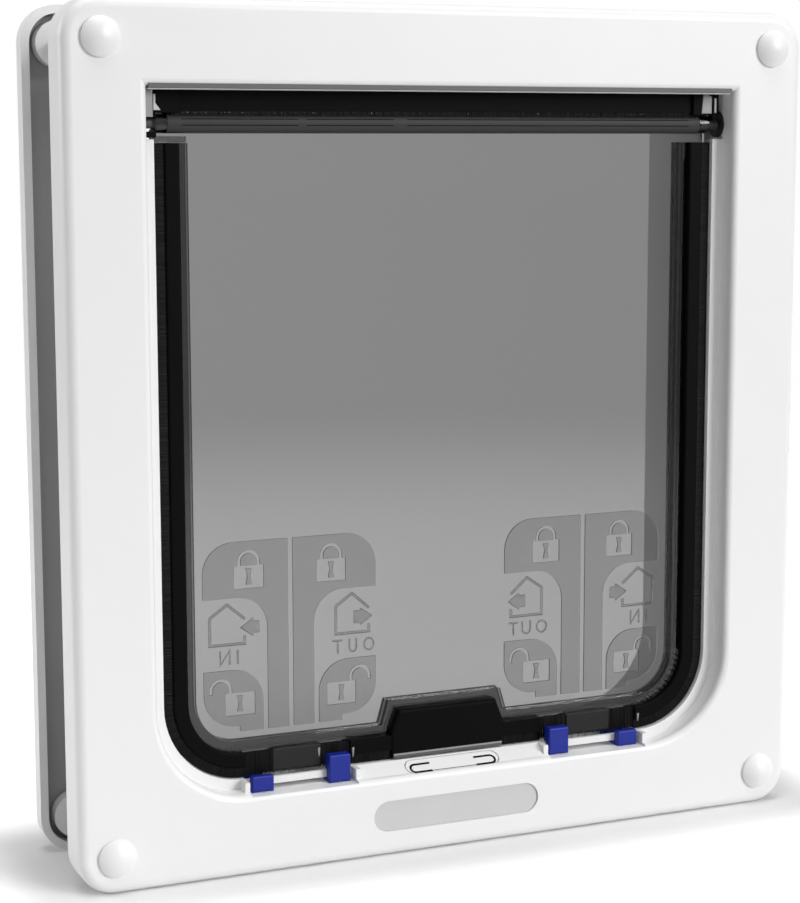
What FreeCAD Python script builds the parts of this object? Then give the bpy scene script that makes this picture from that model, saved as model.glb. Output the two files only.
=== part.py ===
"""Four-way locking cat flap for a door.

Two white moulded frames clamp the door between them. A smoked clear flap hangs on two
pins at the top of the tunnel, edged with black brush strips, and four blue catches in
the sill stop it swinging in or out.

Sizes are millimetres. X is the width, Z is up and Y runs through the door from front to
back. The shapes are drawn with Y measured from the face of the front frame, and each
one is moved so that the origin is at the bottom centre of the whole unit.
"""
import FreeCAD, Part
import math
import os

V = FreeCAD.Vector

# Overall frame sizes
frame_width = 236.0
frame_height = 252.0
frame_corner_radius = 11.0
front_depth = 12.8
rear_depth = 8.5
door_gap = 30.7
plate = 2.6
side_wall = 2.4
face_edge_radius = 3.0
rear_edge_radius = 3.4

# Borders of the front face round its opening, and the ledge that steps in to the tunnel
face_side = 24.0
face_bottom = 24.2
face_top = 24.0
reveal_edge_radius = 2.0
ledge_setback = 6.8
ledge_side = 3.7
ledge_bottom = 3.1
ledge_top = 0.6
tunnel_corner_radius = 24.0
tunnel_wall = 2.0
tunnel_length = 40.0
sleeve_gap = 0.3
sleeve_overlap = 20.0
rear_opening_radius = 2.4

# Corner fixings
fixing_inset = 11.0
cap_diameter = 11.0
cap_height = 3.0
cap_rim = 0.8
cap_stem_diameter = 8.0
cap_stem_length = 2.0
fit_gap = 0.1
counterbore_depth = 6.0
screw_diameter = 3.8
screw_head_diameter = 7.4
screw_head_height = 2.4
screw_drive_width = 4.4
screw_drive_slot = 1.0
screw_drive_depth = 1.1
screw_grip = 5.4
front_boss_diameter = 12.4
rear_boss_diameter = 13.4
boss_setback = 0.2

# Bare pill recess low on the face
badge_width = 55.0
badge_height = 9.5
badge_centre = 12.3
badge_depth = 0.8

# Hinge
hinge_setback = 10.2
hinge_drop = 9.35
pin_diameter = 3.2
pin_running_gap = 0.05
pin_grip = 9.0
pin_end_gap = 0.3
bush_diameter = 6.0
bush_flange_diameter = 8.0
bush_flange = 0.8
bush_length = 3.2
pocket_drop = 4.6
pocket_depth = 14.8
pocket_rib_width = 1.0
pocket_rib_gap = 0.2

# Flap panel
flap_side_gap = 0.5
panel_setback = 11.0
panel_thickness = 2.0
rail_diameter = 5.7
rail_end_inset = 3.5
rail_seal_gap = 0.3
panel_below_hinge = 1.85
rim_width = 2.9
rim_front = 9.4
rim_back = 14.6
edge_band = 7.2
flange_width = 2.5
flange_corner_gap = 5.0
mark_height = 0.5

# Raised fields on the back of the flap, one pair above each pair of catches
mark_width = 27.3
mark_middle_gap = 0.8
mark_column = 7.3
mark_column_gap = 1.6
mark_top = 97.2
mark_locked_height = 16.6
mark_action_height = 21.6
mark_unlocked_height = 16.9
mark_neck_height = 1.8
mark_neck_width = 16.2
mark_bend = 9.4

# Padlocks sunk into the raised fields, shut in the upper field and open in the lower one
padlock_width = 9.3
padlock_height = 6.9
shut_padlock_centre = 13.0
shut_padlock_bottom = 83.1
open_padlock_centre = 16.1
open_padlock_bottom = 45.2
shackle_radius = 3.5
shackle_thickness = 1.0
shackle_leg = 1.1
open_shackle_shift = 6.0
keyhole_top = 5.9
keyhole_waist = 3.7
keyhole_bottom = 1.2
keyhole_half_width = 0.9
keyhole_waist_half_width = 0.38

# Brush strips round the flap
strip_front = 7.4
strip_back = 15.2
strip_width = 4.5
strip_top_drop = 5.55
strip_edge_radius = 0.6
groove_gap = 0.1
pile_thickness = 2.0
pile_setback = 9.2
pile_root = 2.0
pile_edge_gap = 0.3

# Top seal
seal_front = 7.4
seal_back = 11.6
seal_holder_height = 5.9
seal_holder_inset = 2.8
seal_pile_inset = 5.5
seal_pile_thickness = 2.4
seal_groove = 1.6

# Magnet housing on the flap and the magnet in the sill
housing_front = 6.9
housing_back = 15.9
housing_foot_width = 37.6
housing_head_width = 32.6
housing_height = 14.9
housing_shoulder = 8.6
housing_edge_radius = 1.0
hood_width = 2.6
magnet_length = 24.0
magnet_depth = 4.0
magnet_height = 3.6
magnet_wall = 1.2
boss_setback_front = 1.2
boss_rise_start = 23.6
cover_length = 30.8
cover_width = 5.0
cover_thickness = 1.2
cover_gap = 0.35
keeper_length = 24.0
keeper_width = 3.4
keeper_depth = 3.0
keeper_wall = 1.5

# Catches and the slots they run in
slot_end_gap = 1.2
slot_corner_gap = 0.5
slot_floor = 23.5
slot_back = 16.2
tray_floor = 1.8
tray_wall = 1.5
rail_thickness = 1.2
rail_underside = 24.9
rail_sill_drop = 0.3
rib_pitch = 2.4
rib_width = 0.8
rib_depth = 0.5
notch_side_gap = 0.1
lug_width = 15.0
lug_front = 8.0
lug_back = 13.3
lug_bottom = 28.4
catch_width = 6.8
catch_travel = 8.0
catch_pair_gap = 1.6
catch_gap = 0.1
nose_front = 4.0
nose_rail_gap = 0.3
foot_overrun = 1.2
out_nose_top = 32.0
in_nose_top = 28.4
in_post_gap = 0.4
in_post_thickness = 1.7
in_post_top = 32.8
nose_edge_radius = 0.5
nose_notch_radius = 0.9
nose_notch_rise = 0.45

# Places that follow from the sizes above
reveal_width = frame_width - 2 * face_side
reveal_bottom = face_bottom
reveal_top = frame_height - face_top
tunnel_width = reveal_width - 2 * ledge_side
tunnel_bottom = reveal_bottom + ledge_bottom
tunnel_top = reveal_top - ledge_top
rear_front_face = front_depth + door_gap
rear_face = rear_front_face + rear_depth
sleeve_front = tunnel_length - sleeve_overlap
ledge_back = ledge_setback + tunnel_wall
hinge_height = tunnel_top - hinge_drop
pocket_bottom = hinge_height - pocket_drop
notch_top = tunnel_bottom + flap_side_gap + edge_band
slot_end = tunnel_width / 2 - tunnel_corner_radius - slot_corner_gap
in_catch_rest = slot_end - slot_end_gap - catch_width / 2
lug_centre = in_catch_rest - catch_travel - (catch_width + catch_pair_gap) / 2
out_catch_rest = lug_centre - (catch_width + catch_pair_gap) / 2 - catch_travel
slot_start = out_catch_rest - catch_width / 2 - slot_end_gap
wing_end = slot_start - notch_side_gap
strip_start = slot_end + notch_side_gap
pin_radius = pin_diameter / 2
cap_centre_x = frame_width / 2 - fixing_inset
cap_centres = [
    (name, side * cap_centre_x, height)
    for name, side, height in (
        ("bottom_left", -1, fixing_inset),
        ("bottom_right", 1, fixing_inset),
        ("top_left", -1, frame_height - fixing_inset),
        ("top_right", 1, frame_height - fixing_inset),
    )
]
mid_depth = (rear_face - cap_height) / 2
far = frame_height


def outline(half_width, bottom, top, bottom_radius, top_radius):
    """Face at Y = 0 in the XZ plane: a rectangle with its corners rounded.

    A corner radius of nought gives a square corner.
    """
    corners = (
        (half_width, bottom, -1, 1, bottom_radius),
        (half_width, top, -1, -1, top_radius),
        (-half_width, top, 1, -1, top_radius),
        (-half_width, bottom, 1, 1, bottom_radius),
    )
    stops = []
    for x, z, inward_x, inward_z, radius in corners:
        along_x = V(x + inward_x * radius, 0, z)
        along_z = V(x, 0, z + inward_z * radius)
        centre = V(x + inward_x * radius, 0, z + inward_z * radius)
        middle = centre + V(-inward_x, 0, -inward_z) * (radius / math.sqrt(2))
        first, last = (along_x, along_z) if inward_x * inward_z < 0 else (along_z, along_x)
        stops.append((first, middle, last, radius))
    edges = []
    for index, (first, middle, last, radius) in enumerate(stops):
        if radius > 0:
            edges.append(Part.Arc(first, middle, last).toShape())
        edges.append(Part.makeLine(last, stops[(index + 1) % len(stops)][0]))
    return Part.Face(Part.Wire(edges))


def polygon(points):
    """Face at Y = 0 in the XZ plane through (x, z) points."""
    return Part.Face(Part.makePolygon([V(x, 0, z) for x, z in points + points[:1]]))


def prism(face, front, back):
    """Solid made by carrying an XZ face from Y = front to Y = back."""
    return face.translated(V(0, front, 0)).extrude(V(0, back - front, 0))


def box(x_range, y_range, z_range):
    """Solid block between two values on each axis."""
    low = V(min(x_range), min(y_range), min(z_range))
    high = V(max(x_range), max(y_range), max(z_range))
    size = high - low
    return Part.makeBox(size.x, size.y, size.z, low)


def rod(radius, start, direction, length):
    """Solid cylinder."""
    return Part.makeCylinder(radius, length, start, direction)


def mirrored(shape):
    """Copy of a right-hand shape on the left-hand side."""
    return shape.mirror(V(0, 0, 0), V(1, 0, 0))


def both_sides(shape):
    """The right-hand shape and its mirror image as one."""
    return shape.fuse(mirrored(shape))


def round_corner(shape, x, z, radius):
    """Round the edge that runs along Y at one corner of a block."""
    return shape.makeFillet(radius, edges_where(
        shape, lambda b: max(abs(b.XMin - x), abs(b.XMax - x), abs(b.ZMin - z),
                             abs(b.ZMax - z)) < 1e-5))


def edges_where(shape, test):
    """Edges of a shape whose bounding box passes a test."""
    return [edge for edge in shape.Edges if test(edge.BoundBox)]


def on_plane(bounds, y):
    """True when an edge lies in the plane at this Y."""
    return abs(bounds.YMin - y) < 1e-5 and abs(bounds.YMax - y) < 1e-5


def frame_outline(inset):
    """Outer shape of both frames, drawn in by an inset."""
    radius = frame_corner_radius - inset
    return outline(frame_width / 2 - inset, inset, frame_height - inset, radius, radius)


def tunnel_outline(grow):
    """Inner shape of the tunnel, made larger by a wall or a gap."""
    radius = tunnel_corner_radius + grow
    return outline(tunnel_width / 2 + grow, tunnel_bottom - grow, tunnel_top + grow, radius, 0)


def reveal_outline(grow):
    """Shape of the opening in the front face, concentric with the tunnel at its corners."""
    radius = tunnel_corner_radius + (reveal_width - tunnel_width) / 2 + grow
    return outline(reveal_width / 2 + grow, reveal_bottom - grow, reveal_top + grow, radius, 0)


def flap_outline(inset, top):
    """Shape of the flap, drawn in from the tunnel by an inset."""
    radius = tunnel_corner_radius - inset
    return outline(tunnel_width / 2 - inset, tunnel_bottom + inset, top, radius, 0)


def pill(length, width, thickness):
    """Round-ended plate in the XY plane, standing on Z = 0 and centred on the origin."""
    straight = length - width
    middle = box((-straight / 2, straight / 2), (-width / 2, width / 2), (0, thickness))
    ends = [
        rod(width / 2, V(side * straight / 2, 0, 0), V(0, 0, 1), thickness)
        for side in (-1, 1)
    ]
    return middle.fuse(ends).removeSplitter()


def sill_slope():
    """Angle of the sloping boss in the middle of the sill, in degrees."""
    rise = tunnel_bottom - boss_rise_start
    return math.degrees(math.atan2(rise, ledge_setback - boss_setback_front))


def on_sill_slope(shape, depth):
    """Lay an upright shape on the sloping boss, sunk below its surface by a depth."""
    laid = shape.translated(V(0, 0, -depth))
    laid.rotate(V(0, 0, 0), V(1, 0, 0), sill_slope())
    middle_y = (boss_setback_front + ledge_setback) / 2
    middle_z = (boss_rise_start + tunnel_bottom) / 2
    return laid.translated(V(0, middle_y, middle_z))


def front_shell():
    """Hollow front moulding with a rounded face edge and a rounded opening."""
    shell = prism(frame_outline(0), 0, front_depth)
    shell = shell.makeFillet(face_edge_radius, edges_where(shell, lambda b: on_plane(b, 0)))
    shell = shell.cut(prism(reveal_outline(0), -1, front_depth + 1))
    low = reveal_bottom - 0.01
    rim = edges_where(shell, lambda b: on_plane(b, 0) and b.ZMin > low
                      and b.ZMax < reveal_top + 0.01 and b.XMax < reveal_width / 2 + 0.01)
    shell = shell.makeFillet(reveal_edge_radius, rim)
    inside = frame_outline(side_wall)
    behind_reveal = prism(inside, plate, ledge_back).cut(
        prism(reveal_outline(tunnel_wall), plate, ledge_back))
    behind_ledge = prism(inside, ledge_back, front_depth + 1).cut(
        prism(tunnel_outline(tunnel_wall), ledge_back, front_depth + 1))
    return shell.cut([behind_reveal, behind_ledge])


def tunnel_walls():
    """Ledge and tunnel behind the front opening, with the sill tray and hinge pockets."""
    ledge = prism(reveal_outline(tunnel_wall), ledge_setback, ledge_back)
    tube = prism(tunnel_outline(tunnel_wall), ledge_setback, tunnel_length)
    pocket_shell = box(
        (tunnel_width / 2, reveal_width / 2 + tunnel_wall),
        (ledge_setback, pocket_depth + tunnel_wall),
        (pocket_bottom - tunnel_wall, tunnel_top + tunnel_wall))
    tray = box(
        (slot_start - tray_wall, slot_end + tray_wall),
        (plate, slot_back + tray_wall),
        (slot_floor - tray_floor, tunnel_bottom))
    keeper_block = on_sill_slope(
        box((-keeper_length / 2 - keeper_wall, keeper_length / 2 + keeper_wall),
            (-cover_width / 2, cover_width / 2), (0, cover_thickness + keeper_depth + keeper_wall)),
        cover_thickness + keeper_depth + keeper_wall)
    walls = ledge.fuse([tube, both_sides(pocket_shell), both_sides(tray)])
    walls = walls.cut(prism(tunnel_outline(0), 0, tunnel_length + 1))
    pocket = box(
        (0, reveal_width / 2), (ledge_setback - 1, pocket_depth), (pocket_bottom, tunnel_top))
    walls = walls.cut(both_sides(pocket))
    rib = box(
        (reveal_width / 2 - pocket_rib_width, reveal_width / 2 + pocket_rib_width),
        (hinge_setback - pocket_rib_width / 2, hinge_setback + pocket_rib_width / 2),
        (hinge_height + bush_flange_diameter / 2 + pocket_rib_gap, tunnel_top + tunnel_wall / 2))
    walls = walls.fuse(both_sides(rib))
    sill_boss = Part.Face(Part.makePolygon([
        V(-slot_start, boss_setback_front, reveal_bottom - 1),
        V(-slot_start, boss_setback_front, boss_rise_start),
        V(-slot_start, ledge_setback, tunnel_bottom),
        V(-slot_start, ledge_back, tunnel_bottom),
        V(-slot_start, ledge_back, reveal_bottom - 1),
        V(-slot_start, boss_setback_front, reveal_bottom - 1),
    ])).extrude(V(2 * slot_start, 0, 0))
    return walls.fuse([sill_boss, keeper_block])


def slot_ribs():
    """Upright ribs on the back wall of the right-hand slot."""
    count = int((slot_end - slot_start) / rib_pitch)
    starts = [slot_start + (index + 0.5) * rib_pitch for index in range(count)]
    ribs = [
        box((start, start + rib_width), (slot_back - rib_depth, slot_back + tray_wall / 2),
            (slot_floor, tunnel_bottom - rail_sill_drop))
        for start in starts
    ]
    return ribs


def front_frame():
    """Front frame: face, hollow back, tunnel, sill with catch slots and hinge pockets."""
    frame = front_shell().fuse(tunnel_walls())
    bosses = [
        rod(front_boss_diameter / 2, V(x, plate / 2, z), V(0, 1, 0),
            front_depth - boss_setback - plate / 2)
        for _, x, z in cap_centres
    ]
    frame = frame.fuse(bosses)
    for _, x, z in cap_centres:
        hole = rod(screw_diameter / 2 + fit_gap, V(x, -1, z), V(0, 1, 0), front_depth + 2)
        bore = rod(cap_stem_diameter / 2 + fit_gap, V(x, -1, z), V(0, 1, 0),
                   counterbore_depth + 1)
        frame = frame.cut([hole, bore])
    slot = box((slot_start, slot_end), (-1, slot_back), (slot_floor, tunnel_bottom + cap_height))
    bush_hole = rod(bush_diameter / 2, V(reveal_width / 2 - 1, hinge_setback, hinge_height),
                    V(1, 0, 0), tunnel_wall + 2)
    frame = frame.cut([both_sides(slot), both_sides(bush_hole)])
    rail = box((slot_start - fit_gap, slot_end + fit_gap),
               (ledge_setback, ledge_setback + rail_thickness),
               (rail_underside, tunnel_bottom - rail_sill_drop))
    frame = frame.fuse([both_sides(rail)] + [both_sides(rib) for rib in slot_ribs()])
    cover_recess = on_sill_slope(
        pill(cover_length + 2 * cover_gap, cover_width + 2 * cover_gap, cover_thickness + 1),
        cover_thickness)
    keeper_recess = on_sill_slope(
        box((-keeper_length / 2 - fit_gap, keeper_length / 2 + fit_gap),
            (-keeper_width / 2 - fit_gap, keeper_width / 2 + fit_gap), (0, keeper_depth + fit_gap)),
        cover_thickness + keeper_depth + fit_gap)
    badge = pill(badge_width, badge_height, badge_depth + 1)
    badge.rotate(V(0, 0, 0), V(1, 0, 0), 90)
    badge = badge.translated(V(0, badge_depth, badge_centre))
    return frame.cut([cover_recess, keeper_recess, badge]).removeSplitter()


def rear_frame():
    """Rear frame: shallow dished moulding with a sleeve that slides over the tunnel."""
    inner = tunnel_wall + sleeve_gap
    shell = prism(frame_outline(0), rear_front_face, rear_face)
    shell = shell.makeFillet(
        rear_edge_radius, edges_where(shell, lambda b: on_plane(b, rear_face)))
    shell = shell.cut(prism(tunnel_outline(inner), rear_front_face - 1, rear_face + 1))
    half = tunnel_width / 2 + inner + 0.01
    rim = edges_where(shell, lambda b: on_plane(b, rear_face) and b.XMax < half
                      and b.XMin > -half and b.ZMin > tunnel_bottom - inner - 0.01)
    shell = shell.makeFillet(rear_opening_radius, rim)
    hollow = prism(frame_outline(side_wall), rear_front_face - 1, rear_face - plate).cut(
        prism(tunnel_outline(inner + tunnel_wall), rear_front_face - 1, rear_face - plate))
    shell = shell.cut(hollow)
    sleeve = prism(tunnel_outline(inner + tunnel_wall), sleeve_front, rear_front_face + 1).cut(
        prism(tunnel_outline(inner), sleeve_front - 1, rear_front_face + 2))
    bosses = [
        rod(rear_boss_diameter / 2, V(x, rear_front_face + boss_setback, z), V(0, 1, 0),
            rear_depth - boss_setback - plate / 2)
        for _, x, z in cap_centres
    ]
    shell = shell.fuse([sleeve] + bosses)
    holes = [
        rod(screw_diameter / 2 + pin_running_gap, V(x, rear_front_face - 1, z), V(0, 1, 0),
            screw_grip + 1 + boss_setback)
        for _, x, z in cap_centres
    ]
    return shell.cut(holes).removeSplitter()


def screw_cap(x, z):
    """Domed cap with a short stem that plugs the counterbore over a screw."""
    dome = cap_height - cap_rim
    radius = cap_diameter / 2
    sphere_radius = (radius ** 2 + dome ** 2) / (2 * dome)
    rim = rod(radius, V(x, 0, z), V(0, -1, 0), cap_height)
    ball = Part.makeSphere(sphere_radius, V(x, sphere_radius - cap_height, z))
    stem = rod(cap_stem_diameter / 2, V(x, 0, z), V(0, 1, 0), cap_stem_length)
    return rim.common(ball).fuse(stem).removeSplitter()


def screw(x, z):
    """Pan-head screw from the front frame into the rear frame."""
    seat = counterbore_depth
    head = rod(screw_head_diameter / 2, V(x, seat - screw_head_height, z), V(0, 1, 0),
               screw_head_height)
    top = edges_where(head, lambda b: on_plane(b, seat - screw_head_height))
    head = head.makeFillet(screw_head_height / 3, top)
    length = rear_front_face + boss_setback + screw_grip - pin_end_gap - seat
    shank = rod(screw_diameter / 2, V(x, seat, z), V(0, 1, 0), length)
    arm = screw_drive_width / 2
    half = screw_drive_slot / 2
    y_range = (seat - screw_head_height - 1, seat - screw_head_height + screw_drive_depth)
    drive = [
        box((x - arm, x + arm), y_range, (z - half, z + half)),
        box((x - half, x + half), y_range, (z - arm, z + arm)),
    ]
    return head.fuse(shank).cut(drive).removeSplitter()


def fixing_screws():
    """The four frame screws."""
    return Part.makeCompound([screw(x, z) for _, x, z in cap_centres])


def top_seal_holder():
    """Black strip under the top of the tunnel that holds the top brush."""
    half = tunnel_width / 2 - seal_holder_inset
    bottom = tunnel_top - seal_holder_height
    holder = box((-half, half), (seal_front, seal_back), (bottom, tunnel_top))
    middle = (seal_front + seal_back) / 2
    reach = seal_pile_thickness / 2 + groove_gap
    groove = box((-far, far), (middle - reach, middle + reach), (bottom - 1, bottom + seal_groove))
    return holder.cut(groove)


def top_seal_brush():
    """Short pile between the top strip and the hinge rail of the flap."""
    half = tunnel_width / 2 - seal_pile_inset
    middle = (seal_front + seal_back) / 2
    reach = seal_pile_thickness / 2
    bottom = hinge_height + rail_diameter / 2 + rail_seal_gap
    top = tunnel_top - seal_holder_height + seal_groove
    return box((-half, half), (middle - reach, middle + reach), (bottom, top))


def pivot_bush():
    """Right-hand hinge bush: a plug pressed through the pocket wall, with a flange inside."""
    wall = reveal_width / 2
    start = V(wall - bush_flange, hinge_setback, hinge_height)
    axis = V(1, 0, 0)
    flange = rod(bush_flange_diameter / 2, start, axis, bush_flange)
    body = rod(bush_diameter / 2, start, axis, bush_flange + bush_length)
    bore = rod(pin_radius + pin_running_gap, start - axis, axis, bush_flange + bush_length + 2)
    return body.fuse(flange).cut(bore).removeSplitter()


def magnet_cover():
    """Round-ended white cover over the magnet in the sill."""
    return on_sill_slope(pill(cover_length, cover_width, cover_thickness), cover_thickness)


def sill_magnet():
    """Magnet in the sill that draws the flap shut."""
    bar = box((-keeper_length / 2, keeper_length / 2), (-keeper_width / 2, keeper_width / 2),
              (0, keeper_depth))
    return on_sill_slope(bar, cover_thickness + keeper_depth)


def housing_outline(grow):
    """Trapezoid of the magnet housing, made larger on the top and sides."""
    foot = housing_foot_width / 2 + grow
    head = housing_head_width / 2 + grow
    bottom = tunnel_bottom + flap_side_gap
    top = bottom + housing_height + grow
    return polygon([(-foot, bottom), (foot, bottom), (foot, bottom + housing_shoulder),
                    (head, top), (-head, top), (-foot, bottom + housing_shoulder)])


def padlock(centre, bottom, shackle_shift):
    """Solid in the shape of a padlock, as deep as the raised fields, with its keyhole left out."""
    back = panel_setback + panel_thickness
    y_range = (back, back + mark_height)
    top = bottom + padlock_height
    body = box((centre - padlock_width / 2, centre + padlock_width / 2), y_range, (bottom, top))
    ring_x = centre + shackle_shift
    ring_z = top + shackle_leg
    start = V(ring_x, back, ring_z)
    inner_radius = shackle_radius - shackle_thickness
    ring = rod(shackle_radius, start, V(0, 1, 0), mark_height).cut(
        rod(inner_radius, start, V(0, 1, 0), mark_height))
    ring = ring.common(box((-far, far), (0, far), (ring_z, far)))
    legs = [
        box((ring_x + side * inner_radius, ring_x + side * shackle_radius), y_range, (top, ring_z))
        for side in (-1, 1)
    ]
    keyhole = prism(polygon([
        (centre + side * half_width, bottom + height)
        for side, half_width, height in (
            (-1, keyhole_half_width, keyhole_bottom),
            (-1, keyhole_waist_half_width, keyhole_waist),
            (-1, keyhole_half_width, keyhole_top),
            (1, keyhole_half_width, keyhole_top),
            (1, keyhole_waist_half_width, keyhole_waist),
            (1, keyhole_half_width, keyhole_bottom),
        )
    ]), back, back + mark_height)
    return body.fuse([ring] + legs).cut(keyhole).removeSplitter()


def marks():
    """Raised fields on the back of the right-hand half of the flap, beside one centre line.

    Each field is drawn for the side that faces the middle of the flap and mirrored about
    the centre line of the pair, so both halves of a pair match.
    """
    back = panel_setback + panel_thickness
    y_range = (back, back + mark_height)
    locked_bottom = mark_top - mark_locked_height
    unlocked_top = locked_bottom - mark_action_height
    unlocked_bottom = unlocked_top - mark_unlocked_height
    base = unlocked_bottom - mark_neck_height
    locked = box((mark_middle_gap, mark_width), y_range, (locked_bottom, mark_top))
    locked = round_corner(locked, mark_width, mark_top, mark_bend)
    column = box((mark_middle_gap, mark_column), y_range, (base, locked_bottom))
    bend_x = mark_column + mark_bend
    bend_z = locked_bottom - mark_bend
    web = box((mark_column, bend_x), y_range, (bend_z, locked_bottom))
    web = web.cut(rod(mark_bend, V(bend_x, back - 1, bend_z), V(0, 1, 0), mark_height + 2))
    inner = mark_column + mark_column_gap
    unlocked = box((inner, mark_width), y_range, (unlocked_bottom, unlocked_top))
    unlocked = round_corner(unlocked, inner, unlocked_top, mark_bend)
    unlocked = round_corner(unlocked, mark_width, unlocked_bottom, mark_bend)
    neck = box((inner, mark_neck_width), y_range, (base, unlocked_bottom))
    half = locked.fuse([column, web, unlocked, neck]).cut([
        padlock(shut_padlock_centre, shut_padlock_bottom, 0),
        padlock(open_padlock_centre, open_padlock_bottom, open_shackle_shift),
    ]).removeSplitter()
    return half.fuse(mirrored(half)).translated(V(lug_centre, 0, 0))


def flap_panel():
    """Smoked clear flap: sheet, raised rim, hinge rail, corner arms and marked fields."""
    band = flap_side_gap + edge_band
    panel_top = hinge_height - panel_below_hinge
    arm_bottom = hinge_height - strip_top_drop
    panel_back = panel_setback + panel_thickness
    shrink = flap_outline(band, panel_top)
    sheet = prism(shrink, panel_setback, panel_back)
    ring = prism(shrink, rim_front, rim_back).cut(
        prism(flap_outline(band + rim_width, far), 0, far))
    ring = ring.cut(box((-far, far), (0, far), (arm_bottom, far)))
    hood = prism(housing_outline(hood_width), rim_front, rim_back).common(
        prism(shrink, 0, far))
    flange_x = tunnel_width / 2 - band
    flange = box((flange_x - rim_width, flange_x + flange_width), (panel_setback, panel_back),
                 (tunnel_bottom + tunnel_corner_radius + flange_corner_gap,
                  arm_bottom - flange_corner_gap))
    axis_y = hinge_setback
    axis = V(1, 0, 0)
    outer = tunnel_width / 2 - flap_side_gap
    arm = box((flange_x - rim_width, outer), (panel_setback, panel_back), (arm_bottom, panel_top))
    rail_end = outer - rail_end_inset
    rail = rod(rail_diameter / 2, V(-rail_end, axis_y, hinge_height), axis, 2 * rail_end)
    web = box((-rail_end, rail_end), (panel_setback, panel_back), (panel_top - 1, hinge_height))
    panel = sheet.fuse([ring, hood, both_sides(flange), both_sides(arm), rail, web,
                        both_sides(marks())])
    panel = panel.cut(prism(housing_outline(0), 0, far))
    bore = rod(pin_radius, V(outer - pin_grip, axis_y, hinge_height), axis, pin_grip + 1)
    return panel.cut(both_sides(bore)).removeSplitter()


def hinge_pin():
    """Right-hand hinge pin, pressed into the flap rail and free in its bush."""
    outer = tunnel_width / 2 - flap_side_gap
    end = reveal_width / 2 + bush_length - pin_end_gap
    start = V(outer - pin_grip, hinge_setback, hinge_height)
    return rod(pin_radius, start, V(1, 0, 0), end - outer + pin_grip)


def right_part(shape, low_x, top):
    """Part of a shape to the right of an X and below a height."""
    return shape.common(box((low_x, far), (0, far), (0, top)))


def edge_strip():
    """Right-hand rigid strip of the flap edge, from the top corner to the catch notch."""
    band = flap_side_gap + edge_band
    outer_inset = band - strip_width
    top = hinge_height - strip_top_drop
    strip = prism(flap_outline(outer_inset, far), strip_front, strip_back).cut(
        prism(flap_outline(band, far + 1), 0, far))
    strip = right_part(strip, strip_start, top)
    long_edges = edges_where(strip, lambda b: on_plane(b, strip_front) or on_plane(b, strip_back))
    outer_edges = [edge for edge in long_edges if edge.Length > strip_width + 0.5]
    strip = strip.makeFillet(strip_edge_radius, outer_edges)
    reach = pile_thickness / 2 + groove_gap
    groove = prism(flap_outline(0, far), pile_setback - reach, pile_setback + reach).cut(
        prism(flap_outline(outer_inset + pile_root, far + 1), 0, far))
    flange_x = tunnel_width / 2 - band
    flange_slot = box(
        (flange_x - 1, flange_x + flange_width + groove_gap),
        (panel_setback - groove_gap, panel_setback + panel_thickness + groove_gap),
        (tunnel_bottom + tunnel_corner_radius + flange_corner_gap - groove_gap, far))
    return strip.cut([groove, flange_slot])


def edge_brush():
    """Right-hand brush pile that stands out of the strip to close the gap to the tunnel."""
    band = flap_side_gap + edge_band
    outer_inset = band - strip_width
    pile = prism(flap_outline(pile_edge_gap, far), pile_setback - pile_thickness / 2,
                 pile_setback + pile_thickness / 2).cut(
        prism(flap_outline(outer_inset + pile_root - groove_gap, far + 1), 0, far))
    return right_part(pile, strip_start, hinge_height - strip_top_drop)


def housing_wing():
    """Right-hand arm of the magnet housing along the bottom edge of the flap."""
    band = flap_side_gap + edge_band
    bottom = tunnel_bottom + band - strip_width
    return box((0, wing_end), (strip_front, strip_back), (bottom, notch_top))


def magnet_cavity(grow):
    """Block the size of the flap magnet, made larger by a gap."""
    middle = (housing_front + housing_back) / 2
    bottom = tunnel_bottom + flap_side_gap + magnet_wall
    return box((-magnet_length / 2 - grow, magnet_length / 2 + grow),
               (middle - magnet_depth / 2 - grow, middle + magnet_depth / 2 + grow),
               (bottom - grow, bottom + magnet_height + grow))


def magnet_housing():
    """Black housing at the middle of the bottom edge, with an arm to each catch notch."""
    block = prism(housing_outline(0), housing_front, housing_back)
    front_edges = edges_where(
        block, lambda b: on_plane(b, housing_front) or on_plane(b, housing_back))
    block = block.makeFillet(housing_edge_radius, front_edges)
    reach = pile_thickness / 2 + groove_gap
    foot = housing_foot_width / 2
    bottom = tunnel_bottom + flap_side_gap + edge_band - strip_width
    groove = box((foot, far), (pile_setback - reach, pile_setback + reach),
                 (0, bottom + pile_root))
    wings = both_sides(housing_wing())
    housing = wings.fuse(block).cut(both_sides(groove))
    return housing.cut(magnet_cavity(fit_gap)).removeSplitter()


def bottom_brush():
    """Right-hand brush pile under the housing arm."""
    bottom = tunnel_bottom + flap_side_gap + edge_band - strip_width
    return box((housing_foot_width / 2 + groove_gap, wing_end),
               (pile_setback - pile_thickness / 2, pile_setback + pile_thickness / 2),
               (tunnel_bottom + pile_edge_gap, bottom + pile_root))


def lock_lug():
    """Right-hand block under the flap rim that the catches bear against."""
    lug = box((lug_centre - lug_width / 2, lug_centre + lug_width / 2), (lug_front, lug_back),
              (lug_bottom, notch_top))
    front = edges_where(lug, lambda b: on_plane(b, lug_front) and b.ZMax - b.ZMin < 1e-5)
    return lug.makeFillet(nose_edge_radius, front)


def catch_foot(centre, back):
    """Flat foot of a catch, running under the rail of its slot."""
    half = catch_width / 2
    return box((centre - half, centre + half), (nose_front, back),
               (slot_floor + catch_gap, rail_underside - catch_gap * 2))


def catch_nose(centre, top):
    """Front nose of a catch, standing before the rail and rounded at its top edges."""
    half = catch_width / 2
    stem_back = ledge_setback - nose_rail_gap
    return box((centre - half, centre + half), (nose_front, stem_back),
               (slot_floor + catch_gap, top))


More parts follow.
